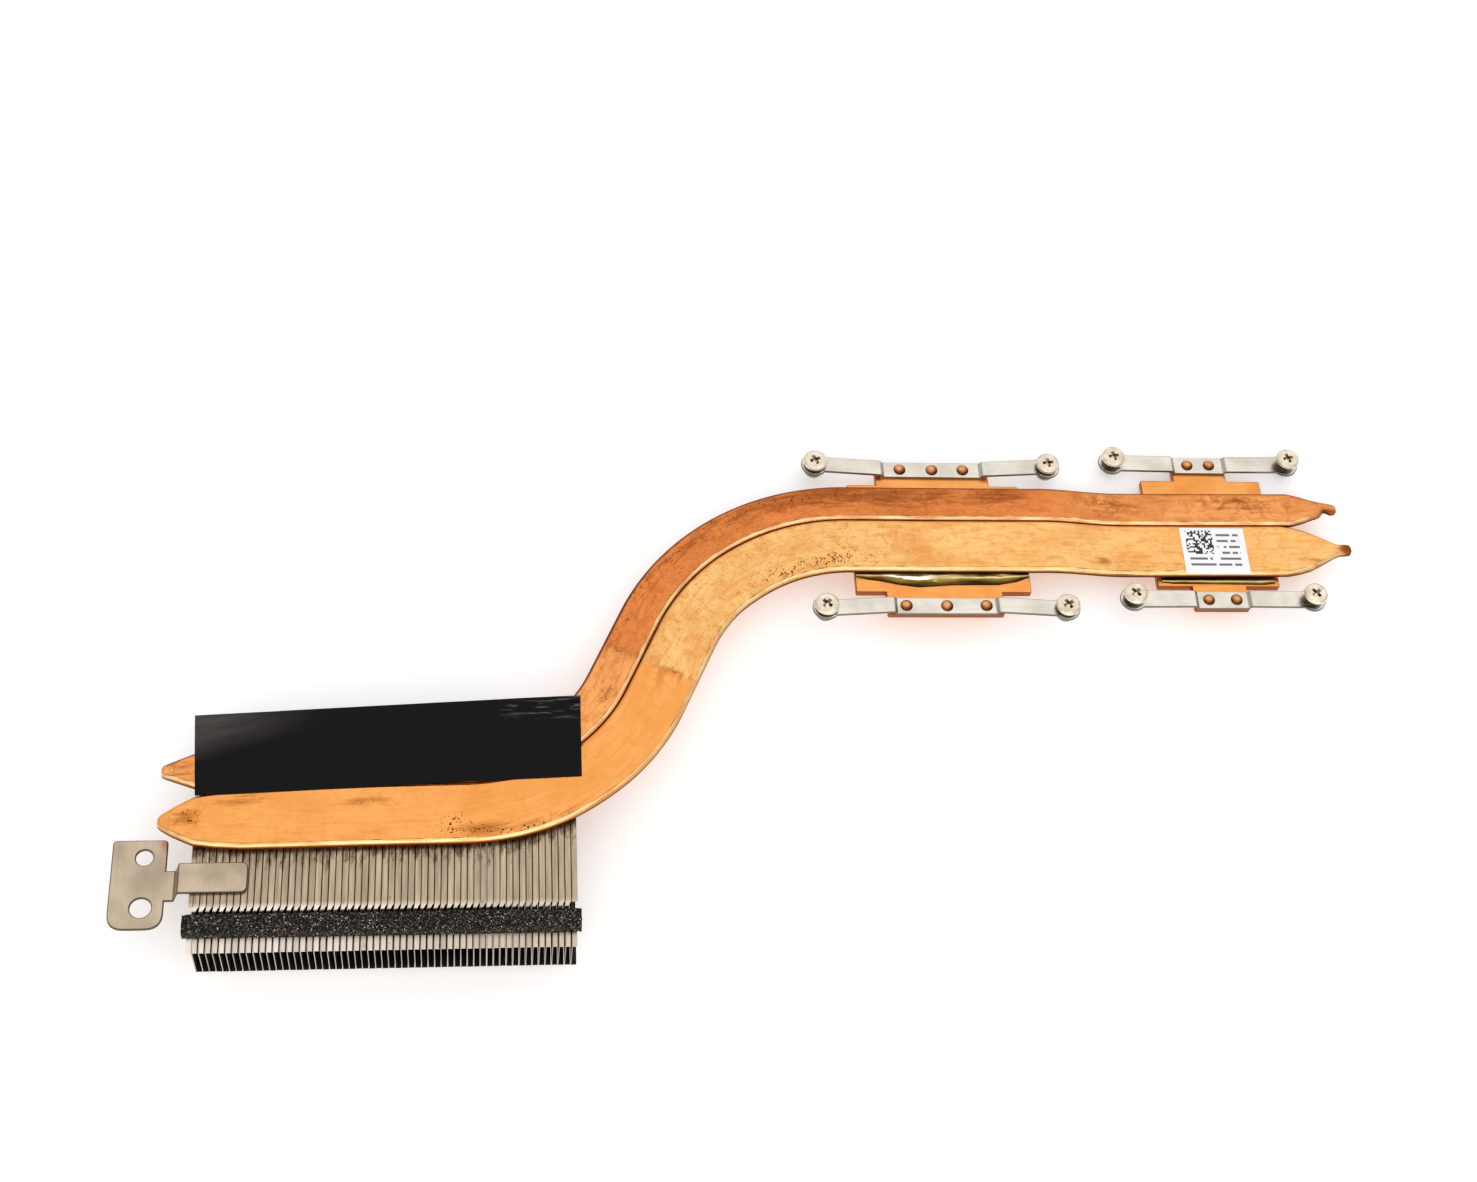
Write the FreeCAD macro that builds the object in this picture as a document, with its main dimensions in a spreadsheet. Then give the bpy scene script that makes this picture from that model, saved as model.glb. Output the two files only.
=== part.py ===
import FreeCAD, Part
import math
import os
import Sketcher

# Laptop heat sink: two flattened heat pipes run side by side from a folded fin stack, through an
# S-bend, over two copper cold plates with riveted spring arms and captive screws.
# Working frame: X along the fin row, Y from the row's front face to its back, Z up from its underside.

doc = FreeCAD.newDocument("heat_sink")
sheet = doc.addObject("Spreadsheet::Sheet", "dim")

SIZES = [
    # fin stack
    ("fin_count", 58), ("fin_pitch", 1.15), ("fin_sheet", 0.2), ("fin_gap", 0.06), ("fin_depth", 37.5),
    ("fin_height", 10.9), ("ledge_drop", 2.1), ("ledge_depth", 6.9), ("ledge_ramp", 0.9),
    # heat pipes: flattened sections and the line of the groove between the two
    ("pipe_thickness", 1.9), ("large_width", 11.9), ("small_width", 7.9), ("pipe_gap", 0.3),
    ("groove_y", 30.6), ("bend_start", 46.15), ("bend_angle", 65.1), ("bend_run", 15.5),
    ("first_radius", 33.3), ("second_radius", 42.45),
    ("step_start", 40.0), ("step_run", 16.5), ("step_drop", 1.6),
    # closed pipe ends
    ("nose_start", 8.0), ("nose_length", 15.0), ("nose_tip_width", 2.6), ("nose_shift", 1.2),
    ("tail_start", 91.0), ("tail_length", 13.8), ("small_tail_start", 93.0), ("small_tail_length", 10.4),
    ("nozzle_width", 2.4), ("tip_thickness", 1.5), ("tail_shift", 0.9),
    # cold plates
    ("plate_thickness", 1.5), ("plate_corner", 0.4), ("tab_inset", 0.2),
    ("wide_x", 18.4), ("wide_inset", 3.3), ("wide_width", 35.3), ("wide_depth", 25.4), ("wide_tab", 23.4),
    ("narrow_x", 75.6), ("narrow_inset", 0.5), ("narrow_width", 25.6), ("narrow_depth", 25.8),
    ("narrow_tab", 11.4),
    # spring arms
    ("arm_thickness", 0.6), ("wide_arm_width", 3.5), ("narrow_arm_width", 3.8), ("arm_joggle", 0.6),
    ("joggle_run", 0.7), ("eyelet_diameter", 5.4), ("eyelet_clearance", 0.25),
    ("wide_arms", 32.3), ("wide_seat", 19.8), ("wide_screws_x", 48.1), ("wide_screws_y", 33.8),
    ("narrow_arms", 32.8), ("narrow_seat", 10.4), ("narrow_screws_x", 37.5), ("narrow_screws_y", 33.0),
    # captive screws and their retaining rings
    ("screw_diameter", 2.0), ("screw_length", 4.4), ("screw_point", 0.4), ("head_diameter", 4.8),
    ("head_height", 1.1), ("head_bevel", 0.3), ("cross_length", 2.3), ("cross_width", 0.6),
    ("cross_depth", 0.8), ("wide_lift", 0.5), ("narrow_lift", 1.4), ("screw_play", 1.8),
    ("groove_depth", 0.25), ("ring_diameter", 3.6), ("ring_thickness", 0.5), ("ring_clearance", 0.05),
    # rivets
    ("rivet_head", 2.4), ("rivet_dome", 0.65), ("rivet_round", 0.6), ("rivet_shank", 1.6),
    ("rivet_clearance", 0.03),
    ("wide_far_rivets", 6.5), ("wide_near_rivets", 8.0), ("narrow_far_rivets", 4.7),
    ("narrow_near_rivets", 5.8),
    # mounting bracket
    ("bracket_sheet", 0.7), ("bracket_gap", 5.3), ("bracket_width", 9.5), ("bracket_y", 4.7),
    ("bracket_depth", 17.1), ("bracket_round", 3.0), ("bracket_corner", 0.8), ("bracket_drop", 3.3),
    ("tongue_y", 10.0), ("tongue_width", 5.8), ("tongue_length", 9.1), ("neck_end", 3.9), ("neck_rise", 1.3),
    ("hole_inset", 3.9), ("rear_hole_y", 18.4), ("rear_hole", 3.0), ("front_hole_y", 8.8),
    ("front_hole", 3.7),
    # foam seal, tape, label and solder
    ("foam_y", 2.5), ("foam_depth", 3.7), ("foam_height", 2.6), ("foam_round", 0.5),
    ("foam_left", 1.8), ("foam_right", 0.7),
    ("tape_sheet", 0.15), ("tape_near_left", 0.8), ("tape_far_left", 1.9), ("tape_right", 67.7),
    ("tape_lap_left", 2.4), ("tape_lap_right", 1.0), ("tape_back_left", 14.1), ("tape_back_right", 17.8),
    ("label_sheet", 0.1), ("label_x", 75.3), ("label_width", 13.5), ("label_depth", 9.8),
    ("solder_gap", 0.25), ("wide_solder", 3.1), ("wide_solder_rise", 0.7), ("solder_inset", 1.0),
    ("narrow_solder", 1.2), ("narrow_solder_rise", 0.5),
]

for row, (name, number) in enumerate(SIZES, start=1):
    sheet.set(f"A{row}", name)
    sheet.set(f"B{row}", str(number))
    sheet.setAlias(f"B{row}", name)
doc.recompute()

# Places worked out from the driving sizes, as expressions over the sheet.
COSINE = "cos(dim.bend_angle)"
SINE = "sin(dim.bend_angle)"
BENDS = "(dim.first_radius + dim.second_radius)"
ROW_X = f"(dim.bend_start + {BENDS} * {SINE} + dim.bend_run * {COSINE})"
ROW_Y = f"(dim.groove_y + {BENDS} * (1 - {COSINE}) + dim.bend_run * {SINE})"
STACK_WIDTH = "(dim.fin_count * dim.fin_pitch)"
LEDGE = "(dim.fin_height - dim.ledge_drop)"
PIPE_MID = "(dim.fin_height + dim.pipe_thickness / 2)"
PIPE_TOP = "(dim.fin_height + dim.pipe_thickness)"
LOW_TOP = "(dim.fin_height - dim.step_drop)"
LARGE_OFFSET = "(-dim.pipe_gap / 2 - dim.large_width / 2)"
SMALL_OFFSET = "(dim.pipe_gap / 2 + dim.small_width / 2)"
LARGE_NEAR_EDGE = f"({ROW_Y} - dim.pipe_gap / 2 - dim.large_width)"
SCREW_HOLE = "(dim.screw_diameter / 2 + dim.eyelet_clearance)"
RIVET_HOLE = "(dim.rivet_shank / 2 + dim.rivet_clearance)"
TAIL_TIP = f"({ROW_X} + dim.tail_start + dim.tail_length)"
BRACKET_LEFT = "(-dim.bracket_gap - dim.bracket_width)"
NARROW_Y = f"({ROW_Y} - dim.narrow_inset)"
BACK_EDGE = f"({NARROW_Y} + dim.narrow_screws_y / 2 + dim.eyelet_diameter / 2)"

# The part's origin is under the middle of its outline.
ORIGIN_X = f"(({TAIL_TIP} + {BRACKET_LEFT}) / 2)"
ORIGIN_Y = f"({BACK_EDGE} / 2)"


def value(expression):
    return float(sheet.evalExpression(expression))


def add_body(label, x="0", y="0", z="0"):
    """A sub-part whose own zero lies at x, y, z of the working frame."""
    body = doc.addObject("PartDesign::Body", label)
    body.Label = label
    body.setExpression("Placement.Base.x", f"{x} - {ORIGIN_X}")
    body.setExpression("Placement.Base.y", f"{y} - {ORIGIN_Y}")
    body.setExpression("Placement.Base.z", z)
    return body


def origin_feature(body, role):
    return next(feature for feature in body.Origin.OriginFeatures if feature.Role == role)


def add_sketch(body, name, plane, height="0"):
    """A sketch on one of the body's own planes, moved by height along the plane's normal."""
    sketch = body.newObject("Sketcher::SketchObject", name)
    sketch.AttachmentSupport = [(origin_feature(body, plane), "")]
    sketch.MapMode = "FlatFace"
    sketch.setExpression("AttachmentOffset.Base.z", height)
    return sketch


def bind(sketch, constraint, expression):
    index = sketch.addConstraint(constraint)
    sketch.setExpression(f"Constraints[{index}]", expression)


def pin(sketch, geometry, point, x=None, y=None):
    """Ties a point's distances from the sketch's zero to expressions."""
    if x is not None:
        bind(sketch, Sketcher.Constraint("DistanceX", -1, 1, geometry, point, value(x)), x)
    if y is not None:
        bind(sketch, Sketcher.Constraint("DistanceY", -1, 1, geometry, point, value(y)), y)


def add_line(sketch, start, end):
    line = Part.LineSegment(
        FreeCAD.Vector(value(start[0]), value(start[1]), 0),
        FreeCAD.Vector(value(end[0]), value(end[1]), 0),
    )
    geometry = sketch.addGeometry(line, False)
    pin(sketch, geometry, 1, *start)
    pin(sketch, geometry, 2, *end)
    return geometry


def add_arc(sketch, centre, start, end):
    """An arc, counter-clockwise from start to end, whose ends meet lines that are already placed."""
    middle = FreeCAD.Vector(value(centre[0]), value(centre[1]), 0)
    first = FreeCAD.Vector(value(start[0]), value(start[1]), 0) - middle
    last = FreeCAD.Vector(value(end[0]), value(end[1]), 0) - middle
    circle = Part.Circle(middle, FreeCAD.Vector(0, 0, 1), first.Length)
    from_angle = math.atan2(first.y, first.x)
    to_angle = math.atan2(last.y, last.x)
    if to_angle < from_angle:
        to_angle += 2 * math.pi
    return sketch.addGeometry(Part.ArcOfCircle(circle, from_angle, to_angle), False)


def join(sketch, arc, point, line, line_point):
    sketch.addConstraint(Sketcher.Constraint("Coincident", arc, point, line, line_point))


def add_outline(sketch, corners):
    """A closed outline of corners (x, y), counter-clockwise; a third entry rounds a square corner."""
    numbers = [(value(corner[0]), value(corner[1])) for corner in corners]
    entries, exits, rounds = [], [], []
    for index, corner in enumerate(corners):
        x, y = corner[0], corner[1]
        if len(corner) == 2:
            entries.append((x, y))
            exits.append((x, y))
            rounds.append(None)
            continue
        before = numbers[index - 1]
        here = numbers[index]
        after = numbers[(index + 1) % len(corners)]
        come = [sign(here[axis] - before[axis]) for axis in (0, 1)]
        go = [sign(after[axis] - here[axis]) for axis in (0, 1)]
        radius = corner[2]
        entry = (f"{x} - {come[0]} * {radius}", f"{y} - {come[1]} * {radius}")
        leave = (f"{x} + {go[0]} * {radius}", f"{y} + {go[1]} * {radius}")
        centre = (f"{x} + {go[0] - come[0]} * {radius}", f"{y} + {go[1] - come[1]} * {radius}")
        entries.append(entry)
        exits.append(leave)
        rounds.append((centre, come[0] * go[1] - come[1] * go[0] > 0))
    count = len(corners)
    lines = [add_line(sketch, exits[i], entries[(i + 1) % count]) for i in range(count)]
    for index, rounding in enumerate(rounds):
        into, out = lines[index - 1], lines[index]
        if rounding is None:
            continue
        centre, outward = rounding
        ends = (entries[index], exits[index]) if outward else (exits[index], entries[index])
        arc = add_arc(sketch, centre, *ends)
        join(sketch, arc, 1 if outward else 2, into, 2)
        join(sketch, arc, 2 if outward else 1, out, 1)
        pin(sketch, arc, 3, x=centre[0])


def sign(number, small=1e-6):
    return 0 if abs(number) < small else int(math.copysign(1, number))


def add_circle(sketch, x, y, radius):
    circle = Part.Circle(FreeCAD.Vector(value(x), value(y), 0), FreeCAD.Vector(0, 0, 1), value(radius))
    geometry = sketch.addGeometry(circle, False)
    pin(sketch, geometry, 3, x, y)
    bind(sketch, Sketcher.Constraint("Radius", geometry, value(radius)), radius)


def add_stadium(sketch, x, y, width, thickness):
    """A flattened pipe's section: two flats joined by half rounds."""
    flat = f"(({width}) - ({thickness})) / 2"
    half = f"({thickness}) / 2"
    left, right = f"{x} - {flat}", f"{x} + {flat}"
    low, high = f"{y} - {half}", f"{y} + {half}"
    bottom = add_line(sketch, (left, low), (right, low))
    top = add_line(sketch, (right, high), (left, high))
    right_round = add_arc(sketch, (right, y), (right, low), (right, high))
    left_round = add_arc(sketch, (left, y), (left, high), (left, low))
    join(sketch, right_round, 1, bottom, 2)
    join(sketch, right_round, 2, top, 1)
    join(sketch, left_round, 1, top, 2)
    join(sketch, left_round, 2, bottom, 1)
    pin(sketch, right_round, 3, x=right)
    pin(sketch, left_round, 3, x=left)


def add_pad(body, sketch, length, name="pad"):
    pad = body.newObject("PartDesign::Pad", name)
    pad.Profile = sketch
    pad.setExpression("Length", length)
    return pad


def add_pocket(body, sketch, depth, name="pocket"):
    """Cuts below the sketch and makes sure that something was cut."""
    doc.recompute()
    before = body.Shape.Volume
    pocket = body.newObject("PartDesign::Pocket", name)
    pocket.Profile = sketch
    pocket.setExpression("Length", depth)
    doc.recompute()
    if body.Shape.Volume >= before:
        raise ValueError(f"{body.Label}: {name} cuts nothing")
    return pocket


def add_revolution(body, sketch):
    turn = body.newObject("PartDesign::Revolution", "turn")
    turn.Profile = sketch
    turn.ReferenceAxis = (origin_feature(body, "Z_Axis"), [""])
    turn.Angle = 360
    return turn


def make_fin_stack():
    """One folded fin, web and two flanges with a lower front ledge, repeated along X."""
    body = add_body("fin_stack")
    high, low, sheet_thickness = "dim.fin_height", LEDGE, "dim.fin_sheet"
    ramp_end = "(dim.ledge_depth + dim.ledge_ramp)"
    web = add_sketch(body, "web", "YZ_Plane")
    add_outline(web, [
        ("0", "0"), ("dim.fin_depth", "0"), ("dim.fin_depth", high), (ramp_end, high),
        ("dim.ledge_depth", low), ("0", low),
    ])
    web_pad = add_pad(body, web, sheet_thickness, "web_pad")
    flanges = add_sketch(body, "flanges", "YZ_Plane")
    add_outline(flanges, [
        ("0", f"{low} - {sheet_thickness}"), ("dim.ledge_depth", f"{low} - {sheet_thickness}"),
        (ramp_end, f"{high} - {sheet_thickness}"), ("dim.fin_depth", f"{high} - {sheet_thickness}"),
        ("dim.fin_depth", high), (ramp_end, high), ("dim.ledge_depth", low), ("0", low),
    ])
    add_outline(flanges, [
        ("0", "0"), ("dim.fin_depth", "0"), ("dim.fin_depth", sheet_thickness), ("0", sheet_thickness),
    ])
    flange_pad = add_pad(body, flanges, "dim.fin_pitch - dim.fin_gap", "flange_pad")
    row = body.newObject("PartDesign::LinearPattern", "fin_row")
    row.Originals = [web_pad, flange_pad]
    row.Direction = (origin_feature(body, "X_Axis"), [""])
    row.setExpression("Length", "(dim.fin_count - 1) * dim.fin_pitch")
    row.setExpression("Occurrences", "dim.fin_count")
    body.Tip = row
    return body


# Share of the full width along a pipe's closed end, from the tip to where the pipe is full again.
NOSE_SECTIONS = [(0.05, 0.30), (0.17, 0.50), (0.41, 0.81), (0.67, 0.93)]
TAIL_SECTIONS = [(0.26, 0.28), (0.42, 0.50), (0.69, 0.83), (0.87, 0.95)]


def add_pipe_end(body, name, y, z, width, full_x, reach, sections, tip_width, shift):
    """A loft from the pipe's full section at full_x to its closed tip, which lies shift to the side."""
    profile = add_sketch(body, f"{name}_full", "YZ_Plane", full_x)
    add_stadium(profile, y, z, width, "dim.pipe_thickness")
    others = []
    for index, (along, share) in enumerate(reversed(sections)):
        station = add_sketch(body, f"{name}_{index}", "YZ_Plane", f"{full_x} + ({reach}) * {1 - along}")
        station_y = f"({y} + ({shift}) * {1 - along})"
        station_width = f"{tip_width} + ({width} - {tip_width}) * {share}"
        add_stadium(station, station_y, z, station_width, "dim.pipe_thickness")
        others.append(station)
    tip = add_sketch(body, f"{name}_tip", "YZ_Plane", f"{full_x} + ({reach})")
    add_stadium(tip, f"({y} + ({shift}))", z, tip_width, "dim.tip_thickness")
    loft = body.newObject("PartDesign::AdditiveLoft", name)
    loft.Profile = profile
    loft.Sections = others + [tip]
    loft.Ruled = True
    return loft


def make_pipe(label, width, offset, tail_start, tail_length):
    """A flattened pipe along the groove line, moved sideways by offset (to the left of its run)."""
    body = add_body(label)
    first = f"(dim.first_radius - {offset})"
    second = f"(dim.second_radius + {offset})"
    fin_y = f"(dim.groove_y + {offset})"
    row_y = f"({ROW_Y} + {offset})"
    first_centre = ("dim.bend_start", "dim.groove_y + dim.first_radius")
    second_centre = (ROW_X, f"{ROW_Y} - dim.second_radius")
    bend_out = (f"dim.bend_start + {first} * {SINE}", f"{first_centre[1]} - {first} * {COSINE}")
    bend_in = (f"{ROW_X} - {second} * {SINE}", f"{second_centre[1]} + {second} * {COSINE}")
    step_x = f"({ROW_X} + dim.step_start)"
    low_x = f"({step_x} + dim.step_run)"
    tail_x = f"({ROW_X} + {tail_start})"
    low_mid = f"({PIPE_MID} - dim.step_drop)"

    section = add_sketch(body, "section", "YZ_Plane", "dim.nose_start")
    add_stadium(section, fin_y, PIPE_MID, width, "dim.pipe_thickness")
    path = add_sketch(body, "path", "XY_Plane", PIPE_MID)
    fin_line = add_line(path, ("dim.nose_start", fin_y), ("dim.bend_start", fin_y))
    slant = add_line(path, bend_out, bend_in)
    row_line = add_line(path, (ROW_X, row_y), (step_x, row_y))
    turn_up = add_arc(path, first_centre, ("dim.bend_start", fin_y), bend_out)
    turn_back = add_arc(path, second_centre, (ROW_X, row_y), bend_in)
    join(path, turn_up, 1, fin_line, 2)
    join(path, turn_up, 2, slant, 1)
    join(path, turn_back, 2, slant, 2)
    join(path, turn_back, 1, row_line, 1)
    pin(path, turn_up, 3, x=first_centre[0])
    pin(path, turn_back, 3, x=second_centre[0])
    run = body.newObject("PartDesign::AdditivePipe", "run")
    run.Profile = section
    run.Spine = (path, [])

    # The run over the narrow plate lies lower: two equal arcs carry the pipe down.
    slope = "(2 * atan(dim.step_drop / dim.step_run))"
    step_radius = f"(dim.step_run / 2 / sin({slope}))"
    low_section = add_sketch(body, "low_section", "YZ_Plane", step_x)
    add_stadium(low_section, row_y, PIPE_MID, width, "dim.pipe_thickness")
    low_path = add_sketch(body, "low_path", "XZ_Plane", f"-{row_y}")
    low_line = add_line(low_path, (low_x, low_mid), (tail_x, low_mid))
    halfway = (f"{step_x} + dim.step_run / 2", f"{PIPE_MID} - dim.step_drop / 2")
    down_centre = (step_x, f"{PIPE_MID} - {step_radius}")
    up_centre = (low_x, f"{low_mid} + {step_radius}")
    down = add_arc(low_path, down_centre, halfway, (step_x, PIPE_MID))
    up = add_arc(low_path, up_centre, halfway, (low_x, low_mid))
    join(low_path, up, 2, low_line, 1)
    join(low_path, up, 1, down, 1)
    pin(low_path, down, 2, step_x, PIPE_MID)
    pin(low_path, down, 1, *halfway)
    pin(low_path, down, 3, x=down_centre[0])
    pin(low_path, up, 3, x=up_centre[0])
    low_run = body.newObject("PartDesign::AdditivePipe", "low_run")
    low_run.Profile = low_section
    low_run.Spine = (low_path, [])

    add_pipe_end(body, "nose", fin_y, PIPE_MID, width, "dim.nose_start", "-dim.nose_length",
                 NOSE_SECTIONS, "dim.nose_tip_width", "-dim.nose_shift")
    add_pipe_end(body, "tail", row_y, low_mid, width, tail_x, tail_length,
                 TAIL_SECTIONS, "dim.nozzle_width", "dim.tail_shift")
    return body


def make_plate(label, top, centre, names):
    """A cold plate with a tab under each spring arm and holes for the rivets."""
    x, y = centre
    body = add_body(label, x, y, f"{top} - dim.plate_thickness")
    half_width, half_depth = f"dim.{names}_width / 2", f"dim.{names}_depth / 2"
    half_tab = f"dim.{names}_tab / 2"
    reach = f"(dim.{names}_arms / 2 + dim.{names}_arm_width / 2 - dim.tab_inset)"
    outline = add_sketch(body, "outline", "XY_Plane")
    rounded = "dim.plate_corner"
    add_outline(outline, [
        (f"-{half_tab}", f"-{reach}", rounded), (half_tab, f"-{reach}", rounded),
        (half_tab, f"-{half_depth}"), (half_width, f"-{half_depth}", rounded),
        (half_width, half_depth, rounded), (half_tab, half_depth),
        (half_tab, reach, rounded), (f"-{half_tab}", reach, rounded),
        (f"-{half_tab}", half_depth), (f"-{half_width}", half_depth, rounded),
        (f"-{half_width}", f"-{half_depth}", rounded), (f"-{half_tab}", f"-{half_depth}"),
    ])
    add_pad(body, outline, "dim.plate_thickness")
    holes = add_sketch(body, "rivet_holes", "XY_Plane", "dim.plate_thickness")
    for side in ("near", "far"):
        for rivet_x in rivet_places(names, side):
            add_circle(holes, rivet_x, arm_line(names, side), RIVET_HOLE)
    add_pocket(body, holes, "dim.plate_thickness")
    return body


RIVET_ROWS = {"wide": (-1, 0, 1), "narrow": (-0.5, 0.5)}


def rivet_places(names, side):
    """Rivet places along an arm, from the plate's middle."""
    return [f"{step} * dim.{names}_{side}_rivets" for step in RIVET_ROWS[names]]


def arm_line(names, side):
    return f"dim.{names}_arms / 2" if side == "far" else f"-dim.{names}_arms / 2"


def screw_line(names, side):
    return f"dim.{names}_screws_y / 2" if side == "far" else f"-dim.{names}_screws_y / 2"


def make_arm(label, top, centre, names, side):
    """A spring arm: riveted in the middle, joggled up to an eyelet at each end."""
    x, y = centre
    body = add_body(label, x, y, top)
    seat = f"dim.{names}_seat / 2"
    ramp = f"({seat} + dim.joggle_run)"
    end = f"dim.{names}_screws_x / 2"
    low, thick, raised = "0", "dim.arm_thickness", "dim.arm_joggle"
    raised_top = f"({raised} + {thick})"
    middle = arm_line(names, side)
    width = f"dim.{names}_arm_width"
    strip = add_sketch(body, "strip", "XZ_Plane", f"-({middle}) - {width} / 2")
    add_outline(strip, [
        (f"-{seat}", low), (seat, low), (ramp, raised), (end, raised), (end, raised_top),
        (ramp, raised_top), (seat, thick), (f"-{seat}", thick), (f"-{ramp}", raised_top),
        (f"-{end}", raised_top), (f"-{end}", raised), (f"-{ramp}", raised),
    ])
    add_pad(body, strip, width, "strip_pad")
    eyelets = add_sketch(body, "eyelets", "XY_Plane", raised)
    for screw_x in (f"-{end}", end):
        add_circle(eyelets, screw_x, screw_line(names, side), "dim.eyelet_diameter / 2")
    add_pad(body, eyelets, thick, "eyelet_pad")
    holes = add_sketch(body, "screw_holes", "XY_Plane", raised_top)
    for screw_x in (f"-{end}", end):
        add_circle(holes, screw_x, screw_line(names, side), SCREW_HOLE)
    add_pocket(body, holes, raised_top, "screw_cut")
    rivets = add_sketch(body, "rivet_holes", "XY_Plane", thick)
    for rivet_x in rivet_places(names, side):
        add_circle(rivets, rivet_x, middle, RIVET_HOLE)
    add_pocket(body, rivets, thick, "rivet_cut")
    return body


def make_rivet(label, x, y, top):
    """A rivet through plate and arm, with a domed head; its zero is the plate's underside."""
    body = add_body(label, x, y, f"{top} - dim.plate_thickness")
    seat = "(dim.plate_thickness + dim.arm_thickness)"
    shank, head = "dim.rivet_shank / 2", "dim.rivet_head / 2"
    crown = f"({seat} + dim.rivet_dome)"
    profile = add_sketch(body, "profile", "XZ_Plane")
    add_outline(profile, [
        ("0", "0"), (shank, "0"), (shank, seat), (head, seat), (head, crown, "dim.rivet_round"), ("0", crown),
    ])
    add_revolution(body, profile)
    return body


def make_screw(label, x, y, seat):
    """A captive screw; its zero is under the head, on its axis."""
    body = add_body(label, x, y, seat)
    head, shank = "dim.head_diameter / 2", "dim.screw_diameter / 2"
    neck = f"({shank} - dim.groove_depth)"
    ring_top = "(-dim.arm_thickness - dim.screw_play)"
    groove_top = f"({ring_top} + dim.ring_clearance)"
    groove_low = f"({ring_top} - dim.ring_thickness - dim.ring_clearance)"
    profile = add_sketch(body, "profile", "XZ_Plane")
    add_outline(profile, [
        ("0", "-dim.screw_length"), (f"{shank} - dim.screw_point", "-dim.screw_length"),
        (shank, "dim.screw_point - dim.screw_length"), (shank, groove_low), (neck, groove_low),
        (neck, groove_top), (shank, groove_top), (shank, "0"), (head, "0"),
        (head, "dim.head_height - dim.head_bevel"), (f"{head} - dim.head_bevel", "dim.head_height"),
        ("0", "dim.head_height"),
    ])
    add_revolution(body, profile)
    recess = add_sketch(body, "cross", "XY_Plane", "dim.head_height")
    long, slim = "dim.cross_length / 2", "dim.cross_width / 2"
    add_outline(recess, [
        (f"-{slim}", f"-{long}"), (slim, f"-{long}"), (slim, f"-{slim}"), (long, f"-{slim}"), (long, slim),
        (slim, slim), (slim, long), (f"-{slim}", long), (f"-{slim}", slim), (f"-{long}", slim),
        (f"-{long}", f"-{slim}"), (f"-{slim}", f"-{slim}"),
    ])
    add_pocket(body, recess, "dim.cross_depth")
    return body


def make_ring(label, x, y, seat):
    """The retaining ring in a screw's groove; its zero is under the screw's head."""
    body = add_body(label, x, y, seat)
    low = "-dim.arm_thickness - dim.screw_play - dim.ring_thickness"
    disc = add_sketch(body, "disc", "XY_Plane", low)
    add_circle(disc, "0", "0", "dim.ring_diameter / 2")
    add_circle(disc, "0", "0", "dim.screw_diameter / 2 - dim.groove_depth + dim.ring_clearance")
    add_pad(body, disc, "dim.ring_thickness")
    return body


def make_bracket():
    """A sheet bracket: a tongue on the fins, a step down beside them and a plate with two holes."""
    body = add_body("mounting_bracket")
    high, sheet_thickness = "dim.fin_height", "dim.bracket_sheet"
    low = f"({high} - dim.bracket_drop)"
    far = "(dim.tongue_y + dim.tongue_width)"
    neck, rise_end = "-dim.neck_end", "(dim.neck_rise - dim.neck_end)"
    right, left = "-dim.bracket_gap", BRACKET_LEFT
    plate = add_sketch(body, "plate", "XY_Plane", low)
    back = "(dim.bracket_y + dim.bracket_depth)"
    add_outline(plate, [
        (left, "dim.bracket_y", "dim.bracket_round"), (right, "dim.bracket_y", "dim.bracket_round"),
        (right, "dim.tongue_y"), (neck, "dim.tongue_y"), (neck, far), (right, far),
        (right, back, "dim.bracket_corner"), (left, back, "dim.bracket_corner"),
    ])
    add_pad(body, plate, sheet_thickness, "plate_pad")
    ramp = add_sketch(body, "ramp", "XZ_Plane", f"-{far}")
    add_outline(ramp, [
        (neck, low), (rise_end, high), ("0", high), ("0", f"{high} + {sheet_thickness}"),
        (rise_end, f"{high} + {sheet_thickness}"), (neck, f"{low} + {sheet_thickness}"),
    ])
    add_pad(body, ramp, "dim.tongue_width", "ramp_pad")
    tongue = add_sketch(body, "tongue", "XY_Plane", high)
    add_outline(tongue, [
        ("0", "dim.tongue_y"), ("dim.tongue_length", "dim.tongue_y", "dim.bracket_corner"),
        ("dim.tongue_length", far, "dim.bracket_corner"), ("0", far),
    ])
    add_pad(body, tongue, sheet_thickness, "tongue_pad")
    holes = add_sketch(body, "holes", "XY_Plane", f"{low} + {sheet_thickness}")
    hole_x = f"{right} - dim.hole_inset"
    add_circle(holes, hole_x, "dim.rear_hole_y", "dim.rear_hole / 2")
    add_circle(holes, hole_x, "dim.front_hole_y", "dim.front_hole / 2")
    add_pocket(body, holes, sheet_thickness)
    return body


def make_foam():
    """The foam seal along the fins' front ledge."""
    body = add_body("foam_strip", x="-dim.foam_left")
    section = add_sketch(body, "section", "YZ_Plane")
    back, top = "dim.foam_y + dim.foam_depth", f"{LEDGE} + dim.foam_height"
    add_outline(section, [
        ("dim.foam_y", LEDGE), (back, LEDGE),
        (back, top, "dim.foam_round"), ("dim.foam_y", top, "dim.foam_round"),
    ])
    add_pad(body, section, f"{STACK_WIDTH} + dim.foam_left + dim.foam_right")
    return body


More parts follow.
